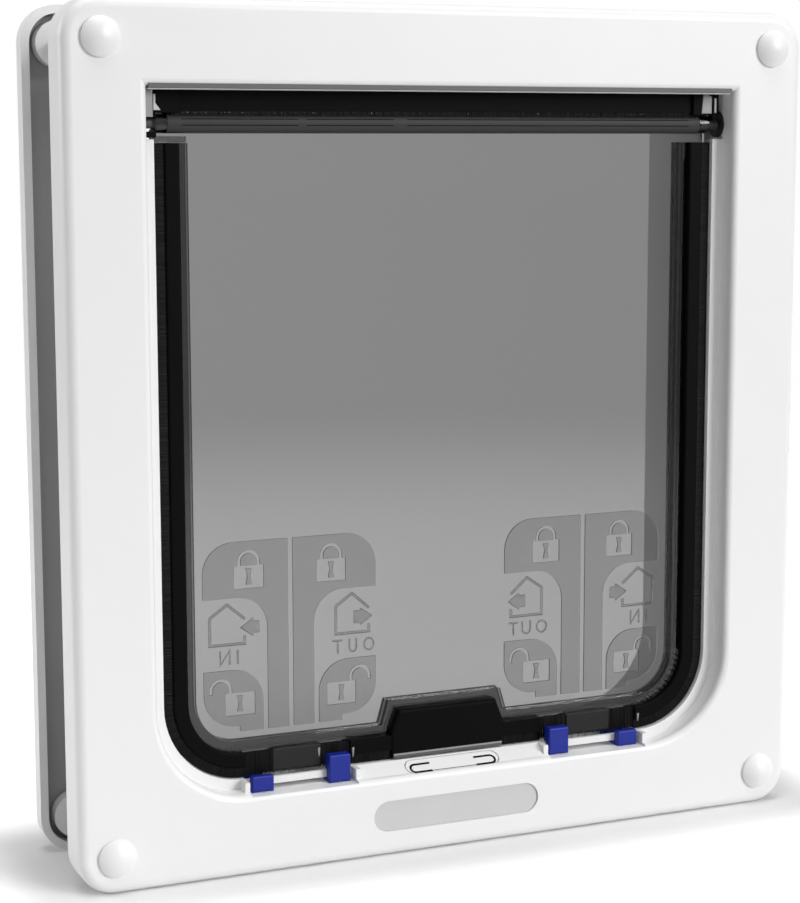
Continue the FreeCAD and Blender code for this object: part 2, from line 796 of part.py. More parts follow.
def rounded_top(shape, top):
    """Soften the edges round the top face of a nose or post."""
    edges = edges_where(shape, lambda b: b.ZMin > top - 1e-4)
    return shape.makeFillet(nose_edge_radius, edges)


def finished_nose(shape, centre, top):
    """Soften the front and top edges of a nose and cut the finger notch under it."""
    edges = edges_where(shape, lambda b: b.ZMin > top - 1e-4 or on_plane(b, nose_front))
    rounded = shape.makeFillet(nose_edge_radius, edges)
    bottom = slot_floor + catch_gap
    notch = rod(nose_notch_radius,
                V(centre, nose_front - 1, bottom + nose_notch_rise - nose_notch_radius),
                V(0, 1, 0), ledge_setback - nose_front)
    return rounded.cut(notch)


def out_catch():
    """Right-hand tall catch that stops the flap swinging out to the front."""
    half = catch_width / 2
    head_bottom = tunnel_bottom + catch_gap
    centre = out_catch_rest
    head = box((centre - half, centre + half), (nose_front, lug_front - in_post_gap),
               (head_bottom, out_nose_top))
    foot = catch_foot(centre, ledge_setback + rail_thickness + foot_overrun)
    nose = catch_nose(centre, out_nose_top).fuse([head, foot]).removeSplitter()
    return finished_nose(nose, centre, out_nose_top)


def in_catch():
    """Right-hand low catch with a post behind the lug that stops the flap swinging in."""
    half = catch_width / 2
    centre = in_catch_rest
    post_front = lug_back + in_post_gap
    post_back = post_front + in_post_thickness
    post = box((centre - half, centre + half), (post_front, post_back),
               (slot_floor + catch_gap, in_post_top))
    nose = catch_nose(centre, in_nose_top).fuse(catch_foot(centre, post_back)).removeSplitter()
    nose = finished_nose(nose, centre, in_nose_top)
    return nose.fuse(rounded_top(post, in_post_top)).removeSplitter()


def export(name, shape):
    """Write one piece to its STEP file, moved to the frame of the whole unit."""
    placed = shape.translated(V(0, -mid_depth, 0))
    placed.exportStep(os.path.join("parts", name + ".step"))
    bounds = placed.BoundBox
    print("%-22s %d solids  valid %s  volume %.1f  x %.1f %.1f  y %.1f %.1f  z %.1f %.1f" % (
        name, len(placed.Solids), placed.isValid(), placed.Volume, bounds.XMin, bounds.XMax,
        bounds.YMin, bounds.YMax, bounds.ZMin, bounds.ZMax))


def main():
    """Build every piece and write its file."""
    os.makedirs("parts", exist_ok=True)
    export("front_frame", front_frame())
    export("rear_frame", rear_frame())
    for name, x, z in cap_centres:
        export("screw_cap_" + name, screw_cap(x, z))
    export("fixing_screws", fixing_screws())
    export("top_seal_holder", top_seal_holder())
    export("top_seal_brush", top_seal_brush())
    export("sill_magnet_cover", magnet_cover())
    export("sill_magnet", sill_magnet())
    export("flap_panel", flap_panel())
    export("magnet_housing", magnet_housing())
    export("flap_magnet", magnet_cavity(0))
    handed = (
        ("pivot_bush", pivot_bush()),
        ("hinge_pin", hinge_pin()),
        ("edge_strip", edge_strip()),
        ("edge_brush", edge_brush()),
        ("bottom_brush", bottom_brush()),
        ("lock_lug", lock_lug()),
        ("out_catch", out_catch()),
        ("in_catch", in_catch()),
    )
    for name, shape in handed:
        export(name + "_right", shape)
        export(name + "_left", mirrored(shape))


main()
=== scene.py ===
"""Looks of a four-way locking cat flap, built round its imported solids.

The white frames, the smoked flap, the black strips and the blue catches keep their
solids and get finishes here. The raised marks on the flap, the bristles of the brushes
and the small trim of the sill and hinge are surfaces worked out with numpy.

Sizes are millimetres with Y measured from the face of the front frame, as the part's
source has them, and Surface.make moves them to the shared frame in metres.
"""

import logging
import math
from dataclasses import dataclass, field
from enum import Enum
from typing import Iterable, Optional, Sequence, Union

import bpy
import numpy as np
from mathutils import Matrix, Vector


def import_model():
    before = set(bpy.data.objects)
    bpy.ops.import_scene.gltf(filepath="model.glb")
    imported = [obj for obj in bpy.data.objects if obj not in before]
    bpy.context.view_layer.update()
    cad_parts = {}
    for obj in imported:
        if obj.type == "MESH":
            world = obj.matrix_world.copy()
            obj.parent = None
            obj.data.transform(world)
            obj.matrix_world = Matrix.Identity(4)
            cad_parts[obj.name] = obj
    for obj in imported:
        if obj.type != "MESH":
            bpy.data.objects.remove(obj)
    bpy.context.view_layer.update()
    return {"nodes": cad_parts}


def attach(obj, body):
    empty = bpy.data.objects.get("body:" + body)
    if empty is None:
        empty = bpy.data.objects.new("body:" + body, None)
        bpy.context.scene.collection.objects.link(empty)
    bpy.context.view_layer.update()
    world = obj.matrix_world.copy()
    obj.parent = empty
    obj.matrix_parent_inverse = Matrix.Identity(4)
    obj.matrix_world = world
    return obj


log = logging.getLogger("cat_flap")

FACE_TO_MIDDLE = 24.5
METRE = 0.001
SHARP_DEGREES = 35
SUNK = 0.06
TINY = 1e-9
RAIL_Y, RAIL_Z = 10.2, 218.05
QUARTER = math.pi / 2

Pair = tuple[float, float]
Triple = tuple[float, float, float]
Path = tuple[Pair, ...]
Node = bpy.types.Node
Socket = bpy.types.NodeSocket
Value = Union[Node, Socket, float, Sequence[float]]


class Slot(Enum):
    """Material slots of the record."""

    WHITE = "white_plastic"
    SMOKED = "smoked_clear"
    BLACK = "black_plastic"
    DARK = "dark_plastic"
    PILE = "brush_pile"
    BLUE = "blue_plastic"
    ZINC = "zinc_screw"
    MAGNET = "magnet"


class Body(Enum):
    """Bodies that new pieces ride on."""

    FRAME = "frame"
    FLAP = "flap"


class Side(Enum):
    """Side of the part as seen from the front."""

    LEFT = -1
    RIGHT = 1

    @property
    def word(self) -> str:
        """Its name as the end of a piece's name."""
        return self.name.lower()


# Surfaces


@dataclass
class Surface:
    """Points in millimetres, faces sorted by corner count, and a number per hair point."""

    points: np.ndarray
    faces: list[np.ndarray]
    strand: Optional[np.ndarray] = None

    def volume(self) -> float:
        """Signed volume: the sum over a fan of triangles of corner dot cross product."""
        total = 0.0
        for block in self.faces:
            first = self.points[block[:, 0]]
            for corner in range(1, block.shape[1] - 1):
                second = self.points[block[:, corner]]
                third = self.points[block[:, corner + 1]]
                total += float(np.einsum("ij,ij->", first, np.cross(second, third)))
        return total / 6.0

    def outward(self) -> "Surface":
        """The same closed surface with its faces turned outwards."""
        if self.volume() < 0:
            self.faces = [block[:, ::-1] for block in self.faces]
        return self

    def on(self, side: Side) -> "Surface":
        """The right-hand surface itself, or its mirror image on the left."""
        if side is Side.RIGHT:
            return self
        turned = [block[:, ::-1] for block in self.faces]
        return Surface(self.points * np.array([-1.0, 1.0, 1.0]), turned, self.strand)

    def make(self, name: str, finish: "Finish", body: Body, slot: Slot) -> None:
        """Turn the surface into a mesh object at the origin that rides on a body.

        Hair keeps flat faces, and all else is smooth below the sharp angle.

        Args:
            name: Name of the piece.
            finish: Finish whose material it takes.
            body: Body that it moves with.
            slot: Material slot of the record; not used.
        """
        mesh = bpy.data.meshes.new(name)
        placed = (self.points - np.array([0.0, FACE_TO_MIDDLE, 0.0])) * METRE
        faces = [face for block in self.faces for face in block.tolist()]
        mesh.from_pydata(placed.tolist(), [], faces)
        mesh.validate()
        if self.strand is None:
            mesh.shade_smooth()
            mesh.set_sharp_from_angle(angle=math.radians(SHARP_DEGREES))
        else:
            layer = mesh.attributes.new("strand", "FLOAT", "POINT")
            layer.data.foreach_set("value", self.strand.astype(np.float32))
        mesh.materials.append(finish.material())
        piece = bpy.data.objects.new(name, mesh)
        bpy.context.scene.collection.objects.link(piece)
        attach(piece, body.value)
        log.info("%s: %d faces", name, len(mesh.polygons))


def joined(parts: Iterable[Surface]) -> Surface:
    """Several surfaces as one, each keeping its own points."""
    points, faces, start = [], [], 0
    for part in parts:
        points.append(part.points)
        faces.extend(block + start for block in part.faces)
        start += len(part.points)
    return Surface(np.concatenate(points), faces)


def ring_faces(rows: int, columns: int, closed: bool = False) -> np.ndarray:
    """Quads between neighbouring points of rings stored one after another.

    Args:
        rows: Number of rings.
        columns: Number of points in a ring.
        closed: Whether the last ring joins the first.

    Returns:
        Corner numbers, four to a face.
    """
    row = np.arange(rows if closed else rows - 1)
    r, c = np.meshgrid(row, np.arange(columns), indexing="ij")
    r2, c2 = (r + 1) % rows, (c + 1) % columns
    corners = [r * columns + c, r * columns + c2, r2 * columns + c2, r2 * columns + c]
    return np.stack(corners, -1).reshape(-1, 4)


def lofted(rings: np.ndarray, closed: bool = False) -> Surface:
    """Skin over rings that follow one another, capped where it has ends.

    Args:
        rings: Points by ring, place in the ring and axis.
        closed: Whether the last ring joins the first.

    Returns:
        A closed surface that faces outwards.
    """
    rows, columns = rings.shape[:2]
    faces = [ring_faces(rows, columns, closed)]
    if not closed:
        ends = np.arange(columns)
        faces.append(np.stack([ends[::-1], ends + (rows - 1) * columns]))
    return Surface(rings.reshape(-1, 3), faces).outward()


def unit(vectors: np.ndarray) -> np.ndarray:
    """The vectors, each divided by its length."""
    return vectors / np.maximum(np.linalg.norm(vectors, axis=1, keepdims=True), TINY)


def square_to(along: np.ndarray, seed: Sequence[float]) -> tuple[np.ndarray, np.ndarray]:
    """Two unit vectors square to each direction: its cross product with a seed and theirs."""
    first = unit(np.cross(along, np.array(seed)))
    return first, np.cross(along, first)


def circles(first: np.ndarray, second: np.ndarray, angle: np.ndarray) -> np.ndarray:
    """Unit circles: the cosine times the first vector plus the sine times the second."""
    turn = angle[None, :, None]
    return np.cos(turn) * first[:, None] + np.sin(turn) * second[:, None]


def arc(middle: Pair, reach: Pair, turn: np.ndarray) -> np.ndarray:
    """(x, z) points: the middle plus the reaches times the cosine and sine of angles."""
    return np.array(middle) + np.array(reach) * np.stack([np.cos(turn), np.sin(turn)], 1)


def mitres(path: np.ndarray, closed: bool) -> np.ndarray:
    """Sideways vectors that keep a stroke's width round its bends.

    The vector at a point is the sum of the normals of the two segments that meet
    there, divided by one plus their dot product.

    Args:
        path: Points of the path in a plane.
        closed: Whether its end joins its start.

    Returns:
        One vector for each point.
    """
    after = unit(np.roll(path, -1, axis=0) - path)
    normal = np.stack([-after[:, 1], after[:, 0]], 1)
    before = np.roll(normal, 1, axis=0)
    if not closed:
        before[0], normal[-1] = normal[0], before[-1]
    share = 1.0 + np.einsum("ij,ij->i", before, normal)
    sharpest = 0.3
    return (before + normal) / np.maximum(share, sharpest)[:, None]


def stroke(
    path: np.ndarray, width: float, base: float, rise: float, closed: bool = False
) -> Surface:
    """Raised line with slightly rounded shoulders, drawn in the XZ plane.

    A six-cornered section is carried along the path: a corner of the section at
    (across, up) stands at the path plus across times the mitre, with Y = base + up.

    Args:
        path: (x, z) points in millimetres.
        width: Width of the line.
        base: Y of the surface that it stands on.
        rise: Height of the line along Y, negative for towards the front.
        closed: Whether the path is a ring.

    Returns:
        A closed surface that faces outwards.
    """
    half, sunk = width / 2, -SUNK * math.copysign(1, rise)
    flat, flank = 0.62 * half, 0.55 * rise
    section = np.array([
        (-half, sunk), (-half, flank), (-flat, rise), (flat, rise), (half, flank), (half, sunk)])
    plane = path[:, None] + mitres(path, closed)[:, None] * section[None, :, :1]
    depth = np.broadcast_to(base + section[:, 1], plane.shape[:2])
    return lofted(np.stack([plane[..., 0], depth, plane[..., 1]], -1), closed)


def plate(outline: np.ndarray, base: float, rise: float, shoulder: float) -> Surface:
    """Raised flat shape with a sloping edge, such as an arrow.

    Three rings follow the outline: one sunk below the base, one a shoulder below the
    top and one on the top, drawn in by the shoulder along the mitres.

    Args:
        outline: (x, z) points of the outline, in order.
        base: Y of the surface that it stands on.
        rise: Height along Y, negative for towards the front.
        shoulder: Width of the sloping edge.

    Returns:
        A closed surface that faces outwards.
    """
    turn = np.roll(outline, -1, axis=0)
    area = float(np.sum(outline[:, 0] * turn[:, 1] - outline[:, 1] * turn[:, 0]))
    inward = mitres(outline, True) * math.copysign(1, area)
    sunk, step = (math.copysign(size, rise) for size in (SUNK, shoulder))
    rings = []
    for inset, up in ((0.0, -sunk), (0.0, rise - step), (shoulder, rise)):
        x, z = (outline + inward * inset).T
        rings.append(np.stack([x, np.full(len(x), base + up), z], 1))
    return lofted(np.stack(rings))


def tube(path: np.ndarray, radius: np.ndarray, sides: int) -> Surface:
    """Round bar along a path in space.

    The ring at each path point is the point plus the radius times the cosine and sine
    of an angle along two directions square to the path.

    Args:
        path: (x, y, z) points.
        radius: Radius at each point.
        sides: Number of points in a ring.

    Returns:
        A closed surface that faces outwards.
    """
    along = unit(np.gradient(path, axis=0))
    steep = abs(along[0, 2]) >= 0.8
    angle = np.linspace(0, 2 * math.pi, sides, endpoint=False)
    ring = circles(*square_to(along, (0.0, 1.0, 0.0) if steep else (0.0, 0.0, 1.0)), angle)
    return lofted(path[:, None] + ring * radius[:, None, None])


def block(low: Triple, high: Triple, edge: float) -> Surface:
    """Block with its edges along Y cut at a slant and a chamfered front and back.

    Four octagons stand one behind another along Y, the first and last drawn in by the
    edge width.

    Args:
        low: Lowest corner.
        high: Highest corner.
        edge: Width of the chamfers.

    Returns:
        A closed surface that faces outwards.
    """
    (left, front, bottom), (right, back, top) = low, high
    rings = []
    for y, inset in ((front, edge), (front + edge, 0.0), (back - edge, 0.0), (back, edge)):
        x1, x2, z1, z2 = left + inset, right - inset, bottom + inset, top - inset
        rings.append([(x, y, z) for x, z in (
            (x1 + edge, z1), (x2 - edge, z1), (x2, z1 + edge), (x2, z2 - edge),
            (x2 - edge, z2), (x1 + edge, z2), (x1, z2 - edge), (x1, z1 + edge))])
    return lofted(np.array(rings))


def bristles(
    roots: np.ndarray, tips: np.ndarray, radius: float, bend: float, seed: int
) -> Surface:
    """Field of thin three-sided fibres.

    Each fibre has three rings of three points, at its root, its middle and its tip. A
    point is the ring's centre plus the ring's radius times two directions square to
    the fibre, and the middle ring is pushed sideways by the bend.

    Args:
        roots: Where the fibres start.
        tips: Where they end.
        radius: Radius at the root.
        bend: Largest sideways push of the middle.
        seed: Seed of the random draws.

    Returns:
        All fibres as one surface, with a random number for each in its strand layer.
    """
    draw = np.random.default_rng(seed)
    count = len(roots)
    first, second = square_to(unit(tips - roots), (0.31, 0.92, 0.24))
    push = draw.uniform(-bend, bend, (count, 2))
    middle = (roots + tips) / 2 + first * push[:, :1] + second * push[:, 1:]
    ring = circles(first, second, np.array([0.0, 2.0, 4.0]) * math.pi / 3)
    levels = [(roots, 1.0), (middle, 0.95), (tips, 0.6)]
    points = np.stack([centre[:, None] + ring * radius * part for centre, part in levels], 1)
    start = np.arange(count)[:, None, None] * 9
    side = ring_faces(3, 3)[None] + start
    caps = np.array([[2, 1, 0], [6, 7, 8]])[None] + start
    strand = np.repeat(draw.uniform(0, 1, count), 9)
    return Surface(points.reshape(-1, 3), [side.reshape(-1, 4), caps.reshape(-1, 3)], strand)


# Node trees


class NodeDesk:
    """Adds nodes to one tree and joins their sockets."""

    def __init__(self, tree: bpy.types.NodeTree) -> None:
        """Work on a tree."""
        self.tree = tree

    def put(self, target: Socket, value: Value) -> None:
        """Join an output, or a node's first output, to an input, or set its value.

        Args:
            target: The input.
            value: An output, a node, a number, a vector or a colour.
        """
        if isinstance(value, Node):
            value = value.outputs[0]
        if isinstance(value, Socket):
            self.tree.links.new(value, target)
        else:
            target.default_value = (*value, 1.0) if target.type == "RGBA" else value

    def feed(self, node: Node, **values: Value) -> None:
        """Give a node's inputs their values by name, with underscores for spaces."""
        for name, value in values.items():
            self.put(node.inputs[name.replace("_", " ")], value)

    def add(self, kind: str, *values: Value, **named: object) -> Node:
        """Add a node.

        Args:
            kind: Node type.
            values: Values of its first inputs, in order.
            named: Settings and inputs by name, as feed takes the inputs.

        Returns:
            The node.
        """
        node = self.tree.nodes.new(kind)
        for name, value in named.items():
            if hasattr(node, name):
                setattr(node, name, value)
            else:
                self.feed(node, **{name: value})
        for target, value in zip(node.inputs, values):
            self.put(target, value)
        return node

    def math(self, operation: str, *values: Value) -> Node:
        """Add a Math node for an operation on outputs and numbers."""
        return self.add("ShaderNodeMath", *values, operation=operation)

    def vector(self, operation: str, *values: Value) -> Node:
        """Add a Vector Math node for an operation on outputs and vectors."""
        return self.add("ShaderNodeVectorMath", *values, operation=operation)

    def blend(self, share: Value, first: Value, second: Value) -> Socket:
        """Colour between two colours.

        Args:
            share: Share of the second colour.
            first: Colour at nought.
            second: Colour at one.

        Returns:
            The colour output.
        """
        mix = self.add("ShaderNodeMix", data_type="RGBA")
        share_in, first_in, second_in = (mix.inputs[place] for place in (0, 6, 7))
        self.put(share_in, share)
        self.put(first_in, first)
        self.put(second_in, second)
        return mix.outputs[2]


def bare_desk(owner: Union[bpy.types.Material, bpy.types.World]) -> NodeDesk:
    """Desk on the emptied node tree of a material or a world."""
    owner.use_nodes = True
    owner.node_tree.nodes.clear()
    return NodeDesk(owner.node_tree)


def group_tree(
    name: str, inputs: dict[str, Optional[float]], outputs: Sequence[str]
) -> tuple[NodeDesk, Node, Node]:
    """Start a shader node group with named sockets.

    Args:
        name: Name of the group.
        inputs: Default of each input, or None for a vector.
        outputs: Names of the outputs, all plain numbers.

    Returns:
        The desk, its group input node and its group output node.
    """
    tree = bpy.data.node_groups.new(name, "ShaderNodeTree")
    number, vector = "NodeSocketFloat", "NodeSocketVector"
    for label, value in inputs.items():
        kind = vector if value is None else number
        socket = tree.interface.new_socket(label, in_out="INPUT", socket_type=kind)
        if value is not None:
            socket.default_value = value
    for label in outputs:
        tree.interface.new_socket(label, in_out="OUTPUT", socket_type=number)
    desk = NodeDesk(tree)
    return desk, desk.add("NodeGroupInput"), desk.add("NodeGroupOutput")


class SurfaceEffect(Enum):
    """Effects that several finishes share."""

    GRAIN = "moulded grain"
    HANDLING = "handling marks"

    def tree(self) -> bpy.types.NodeTree:
        """The node group, built the first time."""
        found = bpy.data.node_groups.get(self.value)
        if found is not None:
            return found
        makers = {SurfaceEffect.GRAIN: moulded_grain, SurfaceEffect.HANDLING: handling_marks}
        return makers[self](self.value)


def moulded_grain(name: str) -> bpy.types.NodeTree:
    """Group for the skin of a moulding: fine height, uneven gloss and slow mottle.

    Args:
        name: Name of the group.

    Returns:
        The group.
    """
    desk, given, result = group_tree(
        name, {"Place": None, "Grains per Metre": 2600.0, "Roughness": 0.4, "Spread": 0.06},
        ("Height", "Roughness", "Mottle"))
    place, grains, roughness, spread = given.outputs[:4]
    fine = desk.add("ShaderNodeTexNoise", Vector=place, Scale=grains, Detail=2.0, Roughness=0.6)
    slow = desk.add("ShaderNodeTexNoise", Vector=place, Scale=34.0, Detail=3.0, Roughness=0.55)
    uneven = desk.math("MULTIPLY_ADD", desk.math("SUBTRACT", slow, 0.5), spread, roughness)
    desk.feed(result, Height=fine, Mottle=slow, Roughness=uneven)
    return desk.tree


def handling_marks(name: str) -> bpy.types.NodeTree:
    """Group for faint hairlines: a mask that is one on thin slanting lines.

    Args:
        name: Name of the group.

    Returns:
        The group.
    """
    desk, given, result = group_tree(name, {"Place": None, "Amount": 0.1}, ("Mask",))
    turned = desk.add(
        "ShaderNodeMapping", Vector=given.outputs["Place"], Rotation=(0.4, 0.7, 0.2),
        Scale=(900.0, 40.0, 60.0))
    lines = desk.add("ShaderNodeTexNoise", Vector=turned, Scale=1.0, Detail=2.0, Roughness=0.7)
    narrow = desk.add("ShaderNodeMapRange", Value=lines, From_Min=0.62, From_Max=0.7)
    desk.feed(result, Mask=desk.math("MULTIPLY", narrow, given.outputs["Amount"]))
    return desk.tree


# Finishes


@dataclass(frozen=True)
class Finish:
    """Base of the finishes. Each one makes its material once."""

    name: str

    def material(self) -> bpy.types.Material:
        """The material, made the first time."""
        found = bpy.data.materials.get(self.name)
        if found is not None:
            return found
        made = bpy.data.materials.new(self.name)
        desk = bare_desk(made)
        shader = desk.add("ShaderNodeBsdfPrincipled")
        self.dress(desk, shader, desk.add("ShaderNodeOutputMaterial", Surface=shader))
        return made

    def dress(self, desk: NodeDesk, shader: Node, output: Node) -> None:
        """Fill in the shader. Each finish has its own."""
        raise NotImplementedError

    @staticmethod
    def effect(desk: NodeDesk, which: SurfaceEffect, **values: float) -> Node:
        """Place a shared effect on object coordinates with its own values."""
        place = desk.add("ShaderNodeTexCoord").outputs["Object"]
        return desk.add("ShaderNodeGroup", node_tree=which.tree(), Place=place, **values)

    def grain(
        self, desk: NodeDesk, shader: Node, per_metre: float, roughness: float, spread: float
    ) -> Node:
        """Give the shader the uneven gloss of the shared grain.

        Args:
            desk: Desk of the material.
            shader: Its shader.
            per_metre: Grains per metre.
            roughness: Mean roughness.
            spread: How far the roughness strays.

        Returns:
            The node of the shared effect.
        """
        grain = self.effect(
            desk, SurfaceEffect.GRAIN, Grains_per_Metre=per_metre, Roughness=roughness,
            Spread=spread)
        desk.feed(shader, Roughness=grain.outputs["Roughness"])
        return grain


@dataclass(frozen=True)
class Moulding(Finish):
    """Opaque moulded plastic."""

    colour: Triple
    mottled: Triple
    roughness: float = 0.4
    spread: float = 0.1
    grains_per_metre: float = 2600.0
    grain_depth: float = 0.00001
    index: float = 1.5
    gloss: float = 0.5

    def dress(self, desk: NodeDesk, shader: Node, output: Node) -> None:
        """Mottled colour, uneven gloss and a fine grain."""
        grain = self.grain(desk, shader, self.grains_per_metre, self.roughness, self.spread)
        bump = desk.add(
            "ShaderNodeBump", Strength=0.5, Distance=self.grain_depth,
            Height=grain.outputs["Height"])
        tint = desk.blend(grain.outputs["Mottle"], self.colour, self.mottled)
        desk.feed(
            shader, Base_Color=tint, Normal=bump, IOR=self.index, Specular_IOR_Level=self.gloss)


@dataclass(frozen=True)
class HollowMoulding(Moulding):
    """Moulding with painted shade, a darker grey, over a ring inside its hollow front, in metres.
    """

    # painted shade: grey for the floor and low walls inside the hollow, where shade falls between
    # the frames
    dull_tone_and_painted_shade: Triple = (0.34, 0.34, 0.34)
    depths: Pair = (0.0235, 0.0256)
    middle_height: float = 0.126
    corner: Pair = (0.1070, 0.1150)
    rounding: float = 0.0088
    inner: Pair = (0.0955, 0.104)

    def dress(self, desk: NodeDesk, shader: Node, output: Node) -> None:
        """The moulding's own look, with the painted shade colour in the ring of the hollow."""
        super().dress(desk, shader, output)
        tint = shader.inputs["Base Color"].links[0].from_socket
        # darkens the base colour inside the ring: painted shade
        desk.feed(shader, Base_Color=desk.blend(self.ring(desk), tint, self.dull_tone_and_painted_shade))

    def ring(self, desk: NodeDesk) -> Node:
        """One inside the hollow ring, where the shade is painted, and nought elsewhere, from object
        coordinates.

        With x and z measured from the frame's middle, the ring is where y is between
        the depths, |x| or |z| is more than its inner half, and the distance from the
        corner's middle, with a negative part taken as nought, is less than the rounding.

        Args:
            desk: Desk of the material.

        Returns:
            The node that gives the mask.
        """
        place = desk.add("ShaderNodeTexCoord").outputs["Object"]
        x, y, z = desk.add("ShaderNodeSeparateXYZ", place).outputs
        across = desk.math("ABSOLUTE", x)
        up = desk.math("ABSOLUTE", desk.math("SUBTRACT", z, self.middle_height))
        squares = desk.math("ADD", *(
            desk.math("MULTIPLY", past, past) for past in (
                desk.math("MAXIMUM", desk.math("SUBTRACT", source, middle), 0.0)
                for source, middle in zip((across, up), self.corner))))
        within = desk.math("LESS_THAN", squares, self.rounding ** 2)
        beyond = desk.math("MAXIMUM", *(
            desk.math("GREATER_THAN", source, inner)
            for source, inner in zip((across, up), self.inner)))
        deep = desk.math(
            "MULTIPLY", desk.math("GREATER_THAN", y, self.depths[0]),
            desk.math("LESS_THAN", y, self.depths[1]))
        return desk.math("MULTIPLY", deep, desk.math("MULTIPLY", within, beyond))


@dataclass(frozen=True)
class SmokedClear(Finish):
    """Clear plastic with a grey smoke tint all through it."""

    tint: Triple = (0.5, 0.5, 0.5)
    density: float = 1370.0
    roughness: float = 0.04
    index: float = 1.49

    def dress(self, desk: NodeDesk, shader: Node, output: Node) -> None:
        """Plain transmission, absorption inside and faint hairlines in the gloss."""
        marks = self.effect(desk, SurfaceEffect.HANDLING, Amount=0.05)
        desk.feed(
            shader, Base_Color=(1.0, 1.0, 1.0), Transmission_Weight=1.0, IOR=self.index,
            Roughness=desk.math("ADD", marks, self.roughness))
        smoke = desk.add("ShaderNodeVolumeAbsorption", Density=self.density, Color=self.tint)
        desk.feed(output, Volume=smoke)


@dataclass(frozen=True)
class Fibre(Finish):
    """Nylon bristles, each with its own shade."""

    dark: Triple = (0.003, 0.003, 0.003)
    light: Triple = (0.016, 0.016, 0.017)

    def dress(self, desk: NodeDesk, shader: Node, output: Node) -> None:
        """Shade from the strand layer and a soft gloss."""
        strand = desk.add("ShaderNodeAttribute", attribute_name="strand")
        self.grain(desk, shader, per_metre=4000.0, roughness=0.5, spread=0.1)
        tint = desk.blend(strand.outputs["Fac"], self.dark, self.light)
        desk.feed(shader, Base_Color=tint, IOR=1.53, Specular_IOR_Level=0.06)


@dataclass(frozen=True)
class PlatedSteel(Finish):
    """Zinc-plated steel."""

    light: Triple = (0.62, 0.64, 0.66)
    dull_tone_and_painted_shade: Triple = (0.42, 0.43, 0.42)

    def dress(self, desk: NodeDesk, shader: Node, output: Node) -> None:
        """Metal with a mottled plating."""
        grain = self.grain(desk, shader, per_metre=1500.0, roughness=0.32, spread=0.25)
        bump = desk.add(
            "ShaderNodeBump", Strength=0.4, Distance=0.00001, Height=grain.outputs["Height"])
        tint = desk.blend(grain.outputs["Mottle"], self.light, self.dull_tone_and_painted_shade)
        desk.feed(shader, Base_Color=tint, Normal=bump, Metallic=1.0)


def grey(level: float) -> Triple:
    """Grey of one level."""
    return (level, level, level)


SATIN_WHITE = {
    "colour": grey(0.84), "mottled": grey(0.82), "roughness": 0.36, "spread": 0.08,
    "grain_depth": 0.000006}
WHITE = Moulding("white moulding", **SATIN_WHITE)
# the rear frame's white, with painted shade in its hollow
REAR = HollowMoulding("rear moulding", **SATIN_WHITE)
BLACK = Moulding(
    "black moulding", grey(0.0025), grey(0.004), roughness=0.45, spread=0.12, gloss=0.035)
DARK = Moulding(
    "dark moulding", grey(0.016), grey(0.022), roughness=0.42, spread=0.12, gloss=0.12)
BLUE = Moulding(
    "blue moulding", (0.006, 0.018, 0.25), (0.008, 0.022, 0.275), roughness=0.38, gloss=0.3)
# painted shade: dark grey for the shaded underside of the opening's top
PAINTED_SHADE_BAND = Moulding("lining", grey(0.1), grey(0.09), roughness=0.5)
# pale grey: on the hinge clips, the hinge blade and the strip under the top it is painted shade on
# white mouldings; on the badge plate in the pill recess it is a plain pale grey
BADGE_GREY_AND_SHADE = Moulding("badge grey and painted shade moulding", grey(0.6), grey(0.57), roughness=0.42)
SLEEVE = Moulding(
    "sleeve moulding", (0.042, 0.042, 0.043), (0.05, 0.05, 0.051), roughness=0.5, gloss=0.15)
PIN = Moulding("pin moulding", (0.085, 0.085, 0.086), grey(0.1), gloss=0.3)
# pale grey: on the hinge plate and the hinge cheek it is painted shade on white mouldings; on the
# notch pegs and the housing's lip line it is a plain pale grey
GREY = Moulding("pale grey moulding", grey(0.3), grey(0.27))
FERRITE = Moulding(
    "ferrite", (0.05, 0.048, 0.046), (0.08, 0.077, 0.072), roughness=0.6, spread=0.2,
    grains_per_metre=1800.0, grain_depth=0.00003)
SMOKED = SmokedClear("smoked clear")
FIBRE = Fibre("brush fibre")
ZINC = PlatedSteel("plated steel")


# The opening that the flap fills


@dataclass(frozen=True)
class Tunnel:
    """Outline of the tunnel that the flap swings in."""

    half_width: float = 90.3
    bottom: float = 27.3
    corner: float = 24.0

    @property
    def straight(self) -> float:
        """Length of the sill from its middle to the corner."""
        return self.half_width - self.corner

    def edge(self, along: np.ndarray, inset: float) -> tuple[np.ndarray, np.ndarray]:
        """Points on the right-hand edge, drawn in from the tunnel wall.

        The edge runs from the middle of the sill to the corner, round it and up. A
        point is on the sill while the distance is under the straight part, then at
        the corner's centre plus the radius times the cosine and sine of an angle, and
        past the corner it is on the upright wall.

        Args:
            along: Distances along the wall from the middle of the sill.
            inset: Distance from the wall, towards the inside.

        Returns:
            (x, z) points and the directions that point at the wall.
        """
        angle = np.clip((along - self.straight) / self.corner, 0, QUARTER)
        reach = np.stack([np.sin(angle), -np.cos(angle)], 1)
        upright = np.maximum(along - self.straight - self.corner * QUARTER, 0)
        centre = np.stack([
            np.minimum(along, self.straight), self.bottom + self.corner + upright], 1)
        return centre + reach * (self.corner - inset), reach

    def distance_up(self, height: float) -> float:
        """Distance along the wall at which it reaches a height above its corner."""
        return self.straight + self.corner * QUARTER + height - self.bottom - self.corner


TUNNEL = Tunnel()


# Sub-assemblies


